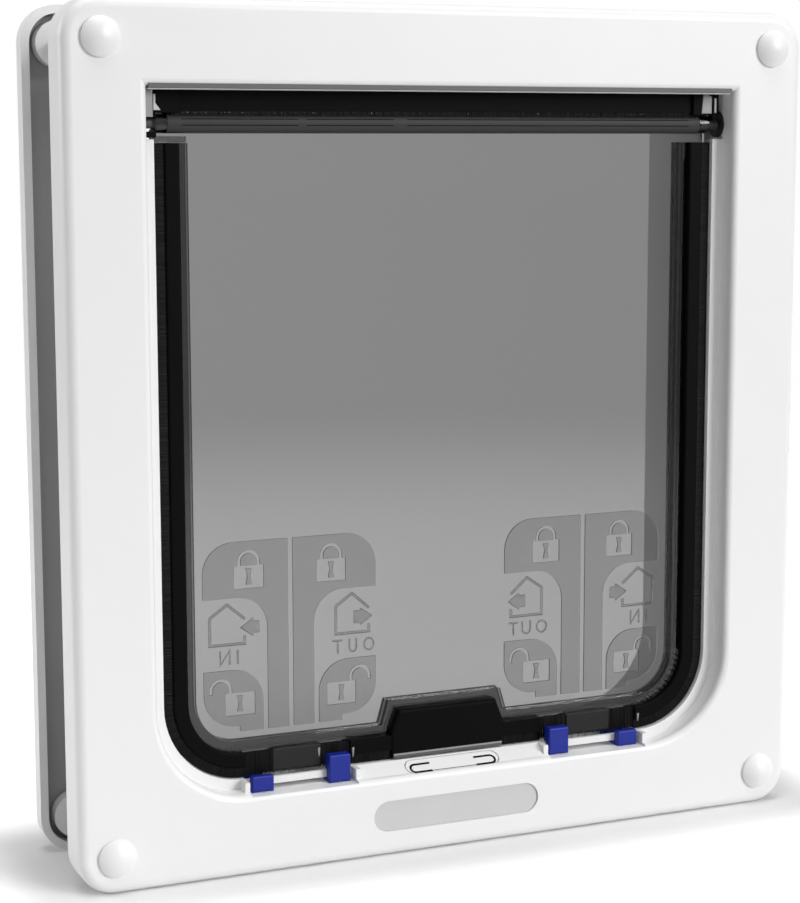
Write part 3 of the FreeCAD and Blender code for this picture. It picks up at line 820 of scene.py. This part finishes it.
@dataclass
class CarriedNodes:
    """CAD nodes that keep their solids and only take a finish."""

    finishes: dict[str, Finish] = field(default_factory=lambda: {
        Slot.WHITE.value: WHITE, Slot.SMOKED.value: SMOKED, Slot.BLACK.value: BLACK,
        Slot.DARK.value: DARK, Slot.PILE.value: FIBRE, Slot.BLUE.value: BLUE,
        Slot.ZINC.value: ZINC, Slot.MAGNET.value: FERRITE})
    special: dict[str, Finish] = field(default_factory=lambda: {
        "hinge_pin_left": PIN, "hinge_pin_right": PIN, "rear_frame": REAR})

    def dress(self, nodes: dict[str, bpy.types.Object]) -> None:
        """Give each node the finish of its material slot.

        Args:
            nodes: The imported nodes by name.
        """
        for name, node in nodes.items():
            slot = node.data.materials[0].name.split(".")[0]
            node.data.materials.clear()
            finish = self.special.get(name, self.finishes[slot])
            node.data.materials.append(finish.material())
            log.info("%s: %s", name, finish.name)


@dataclass
class Brushes:
    """Bristles over the piles of the flap's edges, its notches and the seal above it."""

    pile_middle: float = 9.2
    pile_half: float = 1.0
    rows: int = 5
    spacing: float = 0.3
    fibre_radius: float = 0.13
    fibre_bend: float = 0.05
    root_inset: float = 4.9
    tip_inset: float = 0.32
    nudge: float = 0.12
    lean: float = 0.1
    depth_nudge: float = 0.03
    start: float = 65.95
    top: float = 212.4
    bottom_range: Pair = (18.95, 32.05)
    seal_half: float = 84.7
    seal_middle: float = 9.4
    seal_reach: float = 1.6
    seal_rows: int = 8
    seal_root: float = 222.2
    seal_radius: float = 0.16
    seal_bend: float = 0.03
    rail_clear: float = 3.03
    notch_range: Pair = (32.3, 65.7)
    notch_top: float = 34.7
    notch_bottom: float = 27.7
    notch_ragged: float = 0.3

    @staticmethod
    def places(along: np.ndarray, half: float, rows: int) -> Iterable[np.ndarray]:
        """Each distance along in each row across twice the half, as two flat arrays."""
        return (part.ravel() for part in np.meshgrid(along, np.linspace(-half, half, rows)))

    def nudged(self, draw: np.random.Generator, along: np.ndarray, ends: Pair) -> np.ndarray:
        """Distances moved a little at random, but not past the ends."""
        return np.clip(along + draw.uniform(-self.nudge, self.nudge, len(along)), *ends)

    def fringe(self, ends: Pair, seed: int) -> Surface:
        """Rows of bristles that point at the tunnel wall between two distances.

        Args:
            ends: First and last distance along the wall.
            seed: Seed of the random draws.

        Returns:
            The bristles on the right-hand side.
        """
        draw = np.random.default_rng(seed)
        count = max(int((ends[1] - ends[0]) / self.spacing), 2)
        along, depth = self.places(np.linspace(*ends, count), self.pile_half, self.rows)
        along = self.nudged(draw, along, ends)
        root, _ = TUNNEL.edge(along, self.root_inset)
        tip, reach = TUNNEL.edge(self.nudged(draw, along, ends), self.tip_inset)
        tip = tip + reach * draw.uniform(-self.nudge, self.nudge, (len(along), 1))
        stray = draw.uniform(-self.depth_nudge, self.depth_nudge, len(along))
        depth = self.pile_middle + depth + stray
        roots, tips = (np.stack([end[:, 0], depth, end[:, 1]], 1) for end in (root, tip))
        return bristles(roots, tips, self.fibre_radius, self.fibre_bend, seed + 1)

    def notch(self, seed: int) -> Surface:
        """Upright bristles that hang in the notch, round and under a lug.

        Args:
            seed: Seed of the random draws.

        Returns:
            The bristles on the right-hand side.
        """
        draw = np.random.default_rng(seed)
        along, depth = self.places(
            np.arange(*self.notch_range, self.spacing), self.pile_half, self.rows)
        count = len(along)
        along = along + draw.uniform(-self.lean, self.lean, count)
        depth = self.pile_middle + depth
        roots = np.stack([along, depth, np.full(count, self.notch_top)], 1)
        tips = np.stack([
            along + draw.uniform(-self.lean, self.lean, count), depth,
            self.notch_bottom + draw.uniform(0, self.notch_ragged, count)], 1)
        return bristles(roots, tips, self.fibre_radius, self.fibre_bend, seed + 1)

    def seal(self, seed: int) -> Surface:
        """Rows of bristles that hang from the seal down to the round rail of the flap.

        A tip's height is that of the rail's middle plus the root of the clearance radius
        squared minus the squared distance from the rail's middle along Y.

        Args:
            seed: Seed of the random draws.

        Returns:
            The bristles over the whole width.
        """
        draw = np.random.default_rng(seed)
        ends = (-self.seal_half, self.seal_half)
        along, across = self.places(
            np.linspace(*ends, int(2 * self.seal_half / self.spacing)), self.seal_reach,
            self.seal_rows)
        along, count = self.nudged(draw, along, ends), len(along)
        across = self.seal_middle + across
        height = RAIL_Z + np.sqrt(self.rail_clear ** 2 - (across - RAIL_Y) ** 2)
        height = height + draw.uniform(0, self.lean, count)
        roots = np.stack([along, across, np.full(count, self.seal_root)], 1)
        tips = np.stack([
            along + draw.uniform(-self.lean, self.lean, count), across, height], 1)
        return bristles(roots, tips, self.seal_radius, self.seal_bend, seed + 1)

    def build(self) -> None:
        """Make the bristles of both edges and notches and those of the seal."""
        fields = {
            "edge_bristles": self.fringe((self.start, TUNNEL.distance_up(self.top)), 11),
            "bottom_bristles": self.fringe(self.bottom_range, 21),
            "notch_bristles": self.notch(41)}
        for side in Side:
            for name, hair in fields.items():
                hair.on(side).make(f"{name}_{side.word}", FIBRE, Body.FLAP, Slot.PILE)
        self.seal(31).make("seal_bristles", FIBRE, Body.FRAME, Slot.PILE)


@dataclass(frozen=True)
class Chip:
    """Small chamfered block of trim, given as it would stand on the right."""

    name: str
    low: Triple
    high: Triple
    edge: float
    finish: Finish
    body: Body
    slot: Slot
    side: Side = Side.RIGHT

    def make(self) -> None:
        """Make the block on its side."""
        block(self.low, self.high, self.edge).on(self.side).make(
            self.name, self.finish, self.body, self.slot)


@dataclass
class HingeTrim:
    """Sleeve and seams of the hinge rail, and the clips that hold the hinge at each end."""

    sleeve_half: float = 86.25
    sleeve_radius: float = 2.91
    round_sides: int = 40
    rim: float = 0.3
    seam_reach: float = 82.0
    seam_heights: Pair = (1.05, -0.6)
    seam_gaps: Path = ((-47.0, -44.6), (-17.4, -13.2))
    seam_radius: float = 0.17
    seam_sink: float = 0.12
    knuckle_end: float = 89.7
    legs: tuple[Pair, Pair] = ((89.9, 90.6), (90.4, 91.0))
    leg_depths: Pair = (5.9, 9.0)
    leg_heights: Pair = (221.5, 226.0)
    dark_sides: tuple[Triple, Triple] = ((83.0, 89.8, 220.85), (89.85, 92.0, 219.3))
    dark_depth: float = 6.3
    clip_edge: float = 0.15
    fine_edge: float = 0.1
    guard: tuple[Triple, Triple] = ((87.6, 11.8, 221.3), (93.9, 12.6, 227.3))
    fold: Chip = Chip(
        "rim_fold", (80.0, 9.5, 212.6), (89.6, 11.1, 214.4), 0.3, SMOKED, Body.FLAP,
        Slot.SMOKED, Side.LEFT)
    blade: Path = ((90.6, 223.4), (89.8, 223.4), (88.4, 221.5), (90.2, 221.5))
    blade_rise: float = -0.3
    wall_chips: tuple[Chip, Chip] = (
        # the hinge plate is a white wall drawn grey: painted shade in the pocket
        Chip("hinge_plate", (91.3, 4.0, 219.6), (93.9, 4.6, 227.1), 0.1, GREY, Body.FRAME,
             Slot.WHITE, Side.LEFT),
        Chip("hinge_pad", (90.5, 3.6, 213.9), (93.9, 4.4, 215.6), 0.2, BLACK, Body.FRAME,
             Slot.BLACK, Side.LEFT))
    cheek: Path = ((89.4, 221.3), (89.4, 226.4), (88.1, 227.1), (86.4, 227.1), (85.8, 221.3))
    cheek_rise: float = -0.2

    def bar(self, stops: Sequence[float], thinned: Sequence[float]) -> Surface:
        """Bar on the rail's axis.

        Args:
            stops: Places along X.
            thinned: How much thinner than the sleeve it is at each.

        Returns:
            The bar.
        """
        line = np.array([(x, RAIL_Y, RAIL_Z) for x in stops])
        return tube(line, self.sleeve_radius - np.array(thinned), self.round_sides)

    def seams(self) -> Surface:
        """Thin dark lines along the front of the sleeve, with their breaks."""
        stops = [-self.seam_reach, *(end for gap in self.seam_gaps for end in gap), self.seam_reach]
        centre = self.sleeve_radius - self.seam_sink
        parts = []
        for height in self.seam_heights:
            y, z = RAIL_Y - math.sqrt(centre ** 2 - height ** 2), RAIL_Z + height
            for ends in zip(stops[::2], stops[1::2]):
                line = np.array([(x, y, z) for x in ends])
                parts.append(tube(line, np.full(2, self.seam_radius), 8))
        return joined(parts)

    def build(self) -> None:
        """Make the sleeve and its seams, the clips and the fold of the rim under them."""
        half, rim, end = self.sleeve_half, self.rim, self.knuckle_end
        sleeve = self.bar((-half, rim - half, half - rim, half), (rim, 0.0, 0.0, rim))
        sleeve.make("rail_sleeve", SLEEVE, Body.FLAP, Slot.DARK)
        self.seams().make("rail_seams", BLACK, Body.FLAP, Slot.BLACK)
        knuckle = self.bar((half, end - rim, end), (0.0, 0.0, rim))
        (front, back), (bottom, top) = self.leg_depths, self.leg_heights
        roof = self.guard[1][2]
        slots = joined(
            block((inner, self.dark_depth, foot), (outer, back, roof), self.fine_edge)
            for inner, outer, foot in self.dark_sides)
        guard = block(*self.guard, self.clip_edge)
        for side, (inner, outer) in zip(Side, self.legs):
            leg = block((inner, front, bottom), (outer, back, top), self.clip_edge)
            for name, shape, finish, body, slot in (
                ("rail_knuckle", knuckle, SMOKED, Body.FLAP, Slot.SMOKED),
                ("hinge_clip_slots", slots, BLACK, Body.FRAME, Slot.BLACK),
                # the clip is a white moulding drawn pale grey: painted shade in the recess
                ("hinge_clip", leg, BADGE_GREY_AND_SHADE, Body.FRAME, Slot.WHITE),
                ("hinge_guard", guard, WHITE, Body.FRAME, Slot.WHITE),
            ):
                shape.on(side).make(f"{name}_{side.word}", finish, body, slot)
        self.fold.make()
        # the blade is a white moulding drawn pale grey: painted shade in the recess
        plate(np.array(self.blade), self.dark_depth, self.blade_rise, self.fine_edge).on(
            Side.LEFT).make("hinge_blade", BADGE_GREY_AND_SHADE, Body.FRAME, Slot.WHITE)
        for chip in self.wall_chips:
            chip.make()
        # the cheek is a white moulding drawn grey: painted shade in the recess
        plate(np.array(self.cheek), self.dark_depth, self.cheek_rise, self.fine_edge).make(
            "hinge_cheek", GREY, Body.FRAME, Slot.WHITE)


@dataclass
class NotchPegs:
    """Small pale pegs on the front of the black parts beside the notches.

    Each peg is given by its X and Y and the heights of its foot and top.
    """

    pegs: tuple[tuple[float, float, float, float], ...] = (
        (-31.3, 7.5, 29.8, 32.8), (-42.0, 8.15, 31.0, 33.8), (66.8, 7.5, 30.0, 32.6))
    radius: float = 0.45
    shape: tuple[float, float, float, float] = (0.35, 0.8, 1.0, 0.8)
    round_off: float = 0.2

    def build(self) -> None:
        """Make the pegs, each thinner towards its foot."""
        parts = []
        for x, y, low, high in self.pegs:
            heights = (low, low + 0.5 * (high - low), high - self.round_off, high)
            line = np.array([(x, y, z) for z in heights])
            parts.append(tube(line, self.radius * np.array(self.shape), 10))
        joined(parts).make("notch_pegs", GREY, Body.FLAP, Slot.DARK)


@dataclass
class FrontTrim:
    """Plate in the pill recess, slots of the sill cover, housing lip and the painted shade band
    under the top.
    """

    plate_half: float = 22.65
    plate_radius: float = 4.65
    plate_height: float = 12.3
    plate_back: float = 0.8
    plate_rise: float = 0.25
    plate_edge: float = 0.1
    slot_half: float = 12.6
    slot_radius: float = 1.5
    slot_middle: float = -0.75
    cover_middle: Pair = (4.0, 25.45)
    slope: Pair = (0.8343, 0.5513)
    slot_reach: float = 7.4
    slot_width: float = 0.72
    seam_width: float = 0.2
    slot_rise: float = 0.05
    chips: tuple[Chip, ...] = (
        Chip("housing_lip_line", (-18.2, 6.65, 28.75), (18.2, 7.0, 29.25), 0.05, GREY,
             Body.FLAP, Slot.SMOKED),
        Chip("housing_lip_band", (-18.2, 6.8, 27.9), (18.2, 7.0, 28.75), 0.05, PIN,
             Body.FLAP, Slot.SMOKED),
        # painted shade: a dark band and a pale grey strip stand for the shaded underside of the
        # opening's top
        Chip("top_lining", (-93.6, 0.2, 227.45), (92.9, 2.2, 228.75), 0.05, PAINTED_SHADE_BAND,
             Body.FRAME, Slot.WHITE),
        Chip("top_shade_band_edge", (-93.6, 0.5, 227.12), (92.4, 5.4, 227.4), 0.05, BADGE_GREY_AND_SHADE,
             Body.FRAME, Slot.WHITE))

    def badge_plate(self) -> Surface:
        """Round-ended plate: two half circles joined by straight lines."""
        turn = np.linspace(-QUARTER, QUARTER, 24)
        right = arc((self.plate_half, 0.0), (self.plate_radius, self.plate_radius), turn)
        outline = np.concatenate([right, -right]) + np.array([0.0, self.plate_height])
        return plate(outline, self.plate_back, -self.plate_rise, self.plate_edge)

    def cover_slots(self) -> Surface:
        """Dark ends of the sill cover's gap and the thin line between, drawn flat."""
        turn = np.linspace(-QUARTER, QUARTER, 16)
        end = arc((self.slot_half, self.slot_middle), (self.slot_radius, self.slot_radius), turn)
        low, high = ((self.slot_reach, corner) for corner in end[[0, -1], 1])
        hook = np.concatenate([[low], end, [high]])
        seam = np.array([(-low[0], low[1]), low])
        return joined(
            stroke(line, width, 0.0, -self.slot_rise) for line, width in (
                (hook, self.slot_width), (hook * np.array([-1.0, 1.0]), self.slot_width),
                (seam, self.seam_width)))

    def on_slope(self, flat: Surface) -> Surface:
        """Lay a surface drawn in the XZ plane on the sloping boss of the sill.

        Z becomes the distance up the slope and minus Y the height above it: the point
        is the slope's middle plus Z times its direction minus Y times its normal.

        Args:
            flat: The surface as drawn.

        Returns:
            The surface in place.
        """
        across, up = self.slope
        x, height, along = flat.points.T
        y = self.cover_middle[0] + along * across + height * up
        z = self.cover_middle[1] + along * up - height * across
        return Surface(np.stack([x, y, z], 1), flat.faces)

    def build(self) -> None:
        """Make the plate, the slots of the cover, the housing's lip and the painted shade band
        under the top.
        """
        self.badge_plate().make("badge_plate", BADGE_GREY_AND_SHADE, Body.FRAME, Slot.WHITE)
        self.on_slope(self.cover_slots()).make("cover_slots", BLACK, Body.FRAME, Slot.BLACK)
        for chip in self.chips:
            chip.make()


@dataclass
class FlapMarks:
    """Raised houses, arrows and words on the back of the flap.

    Places are given from the middle line of a pair of catches, positive away from the
    middle of the flap, and the two halves of a pair are for coming in and going out.
    A letter is given by its left and right side as seen from the front.
    """

    pair_centre: float = 49.0
    panel_back: float = 13.0
    house_width: float = 0.8
    house_rise: float = 0.4
    arrow_rise: float = 0.4
    arrow_edge: float = 0.2
    word_width: float = 0.55
    word_rise: float = 0.35
    word_heights: Pair = (60.8, 65.0)
    house_in: Path = (
        (14.4, 74.1), (19.9, 78.7), (25.3, 75.0), (25.3, 66.8), (14.5, 66.8), (14.5, 69.1))
    house_out: Path = (
        (25.1, 74.0), (19.6, 78.8), (14.4, 75.2), (14.4, 66.8), (25.1, 66.8), (25.1, 69.1))
    arrow_in: Triple = (9.9, 11.8, 15.9)
    arrow_in_half: Pair = (1.8, 2.8)
    arrow_out: Triple = (20.2, 22.3, 26.2)
    arrow_out_half: Pair = (1.9, 2.7)
    arrow_height: float = 71.5
    left_words: tuple[tuple[str, float, float], ...] = (
        ("N", -22.5, -19.0), ("I", -17.1, -16.5),
        ("T", 13.1, 16.7), ("U", 18.4, 21.2), ("O", 23.2, 26.8))
    right_words: tuple[tuple[str, float, float], ...] = (
        ("T", -26.0, -22.5), ("U", -21.5, -18.1), ("O", -16.4, -12.5),
        ("N", 17.2, 20.7), ("I", 22.8, 23.4))

    def arrow(self, stops: Triple, half: Pair) -> np.ndarray:
        """Outline of an arrow that points away from the pair's middle line.

        Args:
            stops: Tail, back of the head and tip.
            half: Half height of the shaft and of the head.

        Returns:
            Seven (x, z) points.
        """
        (tail, back, tip), (shaft, head) = stops, half
        flat = [
            (tail, -shaft), (back, -shaft), (back, -head), (tip, 0.0), (back, head),
            (back, shaft), (tail, shaft)]
        return np.array(flat) + np.array([0.0, self.arrow_height])

    def signs(self, side: Side) -> Surface:
        """Both houses and both arrows of one pair.

        Args:
            side: Side of the pair.

        Returns:
            The raised signs in place.
        """
        def placed(outline: Sequence[Pair], outward: int) -> np.ndarray:
            """The outline on its half of the pair."""
            centre = np.array([side.value * self.pair_centre, 0.0])
            return np.array(outline) * np.array([outward * side.value, 1.0]) + centre

        houses = [
            stroke(placed(path, outward), self.house_width, self.panel_back, self.house_rise)
            for path, outward in ((self.house_in, 1), (self.house_out, -1))]
        arrows = [
            plate(placed(shape, outward), self.panel_back, self.arrow_rise, self.arrow_edge)
            for shape, outward in (
                (self.arrow(self.arrow_in, self.arrow_in_half), 1),
                (self.arrow(self.arrow_out, self.arrow_out_half), -1))]
        return joined(houses + arrows)

    def letter(self, kind: str, left: float, right: float) -> list[Surface]:
        """One letter as raised strokes, mirrored so that it reads from behind.

        The bend of U and the ring of O are points at a middle plus a reach times the
        cosine and sine of an angle.

        Args:
            kind: The letter.
            left: Its left side as seen from the front.
            right: Its right side as seen from the front.

        Returns:
            Its strokes.
        """
        (low, high), half = self.word_heights, self.word_width / 2
        a, b, middle = left + half, right - half, (left + right) / 2
        wide, tall = (b - a) / 2, (high - low) / 2 - half
        bend = arc((middle, low + half + wide), (wide, wide), np.linspace(2, 4, 11) * QUARTER)
        ring = np.linspace(0, 4 * QUARTER, 24, endpoint=False)
        lines = {
            "N": ([(b, low), (b, high), (a, low), (a, high)],),
            "I": ([(middle, low), (middle, high)],),
            "T": ([(a, high - half), (b, high - half)], [(middle, low), (middle, high - 2 * half)]),
            "U": ([(a, high), *bend, (b, high)],),
            "O": (arc((middle, (low + high) / 2), (wide, tall), ring),),
        }[kind]
        return [
            stroke(np.array(line), self.word_width, self.panel_back, self.word_rise, kind == "O")
            for line in lines]

    def words(self, places: Sequence[tuple[str, float, float]], side: Side) -> Surface:
        """The two words of one pair.

        Args:
            places: Letter, left side and right side, from the pair's middle line.
            side: Side of the pair.

        Returns:
            All letters as one surface.
        """
        centre = side.value * self.pair_centre
        return joined(
            piece for kind, left, right in places
            for piece in self.letter(kind, centre + left, centre + right))

    def build(self) -> None:
        """Make the signs and words of both pairs."""
        for side, places in zip(Side, (self.left_words, self.right_words)):
            for name, marks in (("signs", self.signs(side)), ("words", self.words(places, side))):
                marks.make(f"{name}_{side.word}", SMOKED, Body.FLAP, Slot.SMOKED)


# Studio


@dataclass(frozen=True)
class Lamp:
    """Square soft lamp: its place in metres, the side of its square and its watts."""

    name: str
    place: Triple
    size: float
    power: float

    def hang(self, aim: Triple) -> None:
        """Hang the lamp, turned at a point."""
        data = bpy.data.lights.new(self.name, "AREA")
        data.shape, data.size, data.energy = "SQUARE", self.size, self.power
        lamp = bpy.data.objects.new(self.name, data)
        turn = (Vector(aim) - Vector(self.place)).to_track_quat("-Z", "Y")
        lamp.matrix_world = Matrix.Translation(self.place) @ turn.to_matrix().to_4x4()
        bpy.context.scene.collection.objects.link(lamp)


@dataclass
class Studio:
    """Camera, floor, lamps and surroundings, in metres, degrees and pixels."""

    camera_place: Triple = (-0.2692, -0.5960, 0.2113)
    turn: float = 23.65
    dip: float = 8.08
    roll: float = 0.12
    focal_pixels: float = 2146.3
    picture_height: float = 903.0
    sensor: float = 36.0
    clip: Pair = (0.02, 50.0)
    fill: float = 0.1
    shown: float = 1.0
    floor_half: float = 9.0
    floor_white: float = 0.8
    foot: Pair = (0.118, 0.0275)
    front_glow: float = 0.6
    behind_glow: float = 0.07
    front_span: Pair = (0.002, 0.035)
    behind_span: Pair = (0.06, 0.15)
    far_span: Pair = (0.37, 1.07)
    shine_share: float = 0.5
    aim: Triple = (0.0, 0.0, 0.12)
    lamps: tuple[Lamp, ...] = (
        Lamp("key", (2.2, -3.15, 1.5), 2.0, 120.0), Lamp("left", (-2.0, 0.45, 0.7), 1.0, 8.0),
        Lamp("top", (0.0, -0.3, 2.4), 1.8, 38.0), Lamp("back", (-1.7, 1.3, 0.75), 1.0, 14.0))

    def camera(self) -> None:
        """Camera at the photograph's place.

        Its axes are right, up and back. Right is the cross product of the line of
        sight and the vertical, and both are then turned by the roll.
        """
        a, e, r = (math.radians(v) for v in (self.turn, self.dip, self.roll))
        sight = Vector((
            math.sin(a) * math.cos(e), math.cos(a) * math.cos(e), -math.sin(e)))
        right = sight.cross(Vector((0, 0, 1))).normalized()
        down = sight.cross(right)
        right, down = (
            right * math.cos(r) + down * math.sin(r), down * math.cos(r) - right * math.sin(r))
        axes = Matrix((right, -down, -sight)).transposed()
        data = bpy.data.cameras.new("camera")
        data.sensor_width = self.sensor
        data.lens = self.focal_pixels * self.sensor / self.picture_height
        data.clip_start, data.clip_end = self.clip
        camera = bpy.data.objects.new("camera", data)
        camera.matrix_world = Matrix.Translation(self.camera_place) @ axes.to_4x4()
        bpy.context.scene.collection.objects.link(camera)
        bpy.context.scene.camera = camera

    def seen_ray(self, desk: NodeDesk) -> Node:
        """One for camera and transmission rays and a share for glossy ones.

        Args:
            desk: Desk of the tree that needs it.

        Returns:
            The node with the largest of the three.
        """
        rays = desk.add("ShaderNodeLightPath").outputs
        camera, glossy, through = (
            rays[f"Is {kind} Ray"] for kind in ("Camera", "Glossy", "Transmission"))
        shine = desk.math("MULTIPLY", glossy, self.shine_share)
        return desk.math("MAXIMUM", desk.math("MAXIMUM", camera, shine), through)

    def world(self) -> None:
        """White surroundings that light the part less than they show."""
        world = bpy.data.worlds.new("studio")
        bpy.context.scene.world = world
        desk = bare_desk(world)
        plain, shown = (
            desk.add("ShaderNodeBackground", Strength=strength, Color=(1.0, 1.0, 1.0))
            for strength in (self.fill, self.shown))
        mix = desk.add("ShaderNodeMixShader", self.seen_ray(desk), plain, shown)
        desk.add("ShaderNodeOutputWorld", Surface=mix)

    @staticmethod
    def ramp(desk: NodeDesk, place: Value, span: Pair, end: float) -> Node:
        """Value that rises smoothly from nought to an end value over a span.

        Args:
            desk: Desk of the tree.
            place: Output that gives the place.
            span: Places where the rise begins and ends.
            end: Value past it.

        Returns:
            The node that gives the value.
        """
        return desk.add(
            "ShaderNodeMapRange", interpolation_type="SMOOTHSTEP", Value=place,
            From_Min=span[0], From_Max=span[1], To_Max=end)

    def floor(self) -> None:
        """Pale floor that glows to the camera round the part and keeps its shadow.

        The glow depends on the distance from the part's foot, a rectangle: the length
        of the vector by which the absolute X and Y pass its half sides. It is nought at
        the foot, rises in two steps, and far away it takes over from the floor's own
        white, so that the floor meets the surroundings without an edge.
        """
        mesh = bpy.data.meshes.new("floor")
        near, far = -self.floor_half, self.floor_half
        corners = [(near, near, 0), (far, near, 0), (far, far, 0), (near, far, 0)]
        mesh.from_pydata(corners, [], [(0, 1, 2, 3)])
        made = bpy.data.materials.new("floor")
        desk = bare_desk(made)
        place = desk.add("ShaderNodeTexCoord").outputs["Object"]
        past = desk.vector("SUBTRACT", desk.vector("ABSOLUTE", place), (*self.foot, 0.0))
        outside = desk.vector("MAXIMUM", past, (0.0, 0.0, 0.0))
        away = desk.vector("LENGTH", outside).outputs["Value"]
        rest = 1.0 - self.front_glow - self.behind_glow
        glows = desk.math(
            "ADD", desk.math(
                "ADD", self.ramp(desk, away, self.front_span, self.front_glow),
                self.ramp(desk, away, self.behind_span, self.behind_glow)),
            self.ramp(desk, away, self.far_span, rest))
        distant = self.ramp(desk, away, self.far_span, 1.0)
        matt = desk.add(
            "ShaderNodeBsdfDiffuse",
            Color=desk.blend(distant, (self.floor_white,) * 3, (0.0, 0.0, 0.0)))
        strength = desk.math("MULTIPLY", self.seen_ray(desk), glows)
        glow = desk.add("ShaderNodeEmission", Strength=strength)
        both = desk.add("ShaderNodeAddShader", matt, glow)
        desk.add("ShaderNodeOutputMaterial", Surface=both)
        mesh.materials.append(made)
        floor = bpy.data.objects.new("floor", mesh)
        bpy.context.scene.collection.objects.link(floor)

    def build(self) -> None:
        """Set up everything round the part."""
        bpy.context.scene.view_settings.view_transform = "Standard"
        self.camera()
        self.world()
        self.floor()
        for lamp in self.lamps:
            lamp.hang(self.aim)


def main() -> None:
    """Build the dressed part."""
    logging.basicConfig(level=logging.INFO, format="%(name)s: %(message)s")
    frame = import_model()
    Studio().build()
    CarriedNodes().dress(frame["nodes"])
    for assembly in (Brushes(), HingeTrim(), NotchPegs(), FrontTrim(), FlapMarks()):
        assembly.build()


if __name__ == "__main__":
    main()
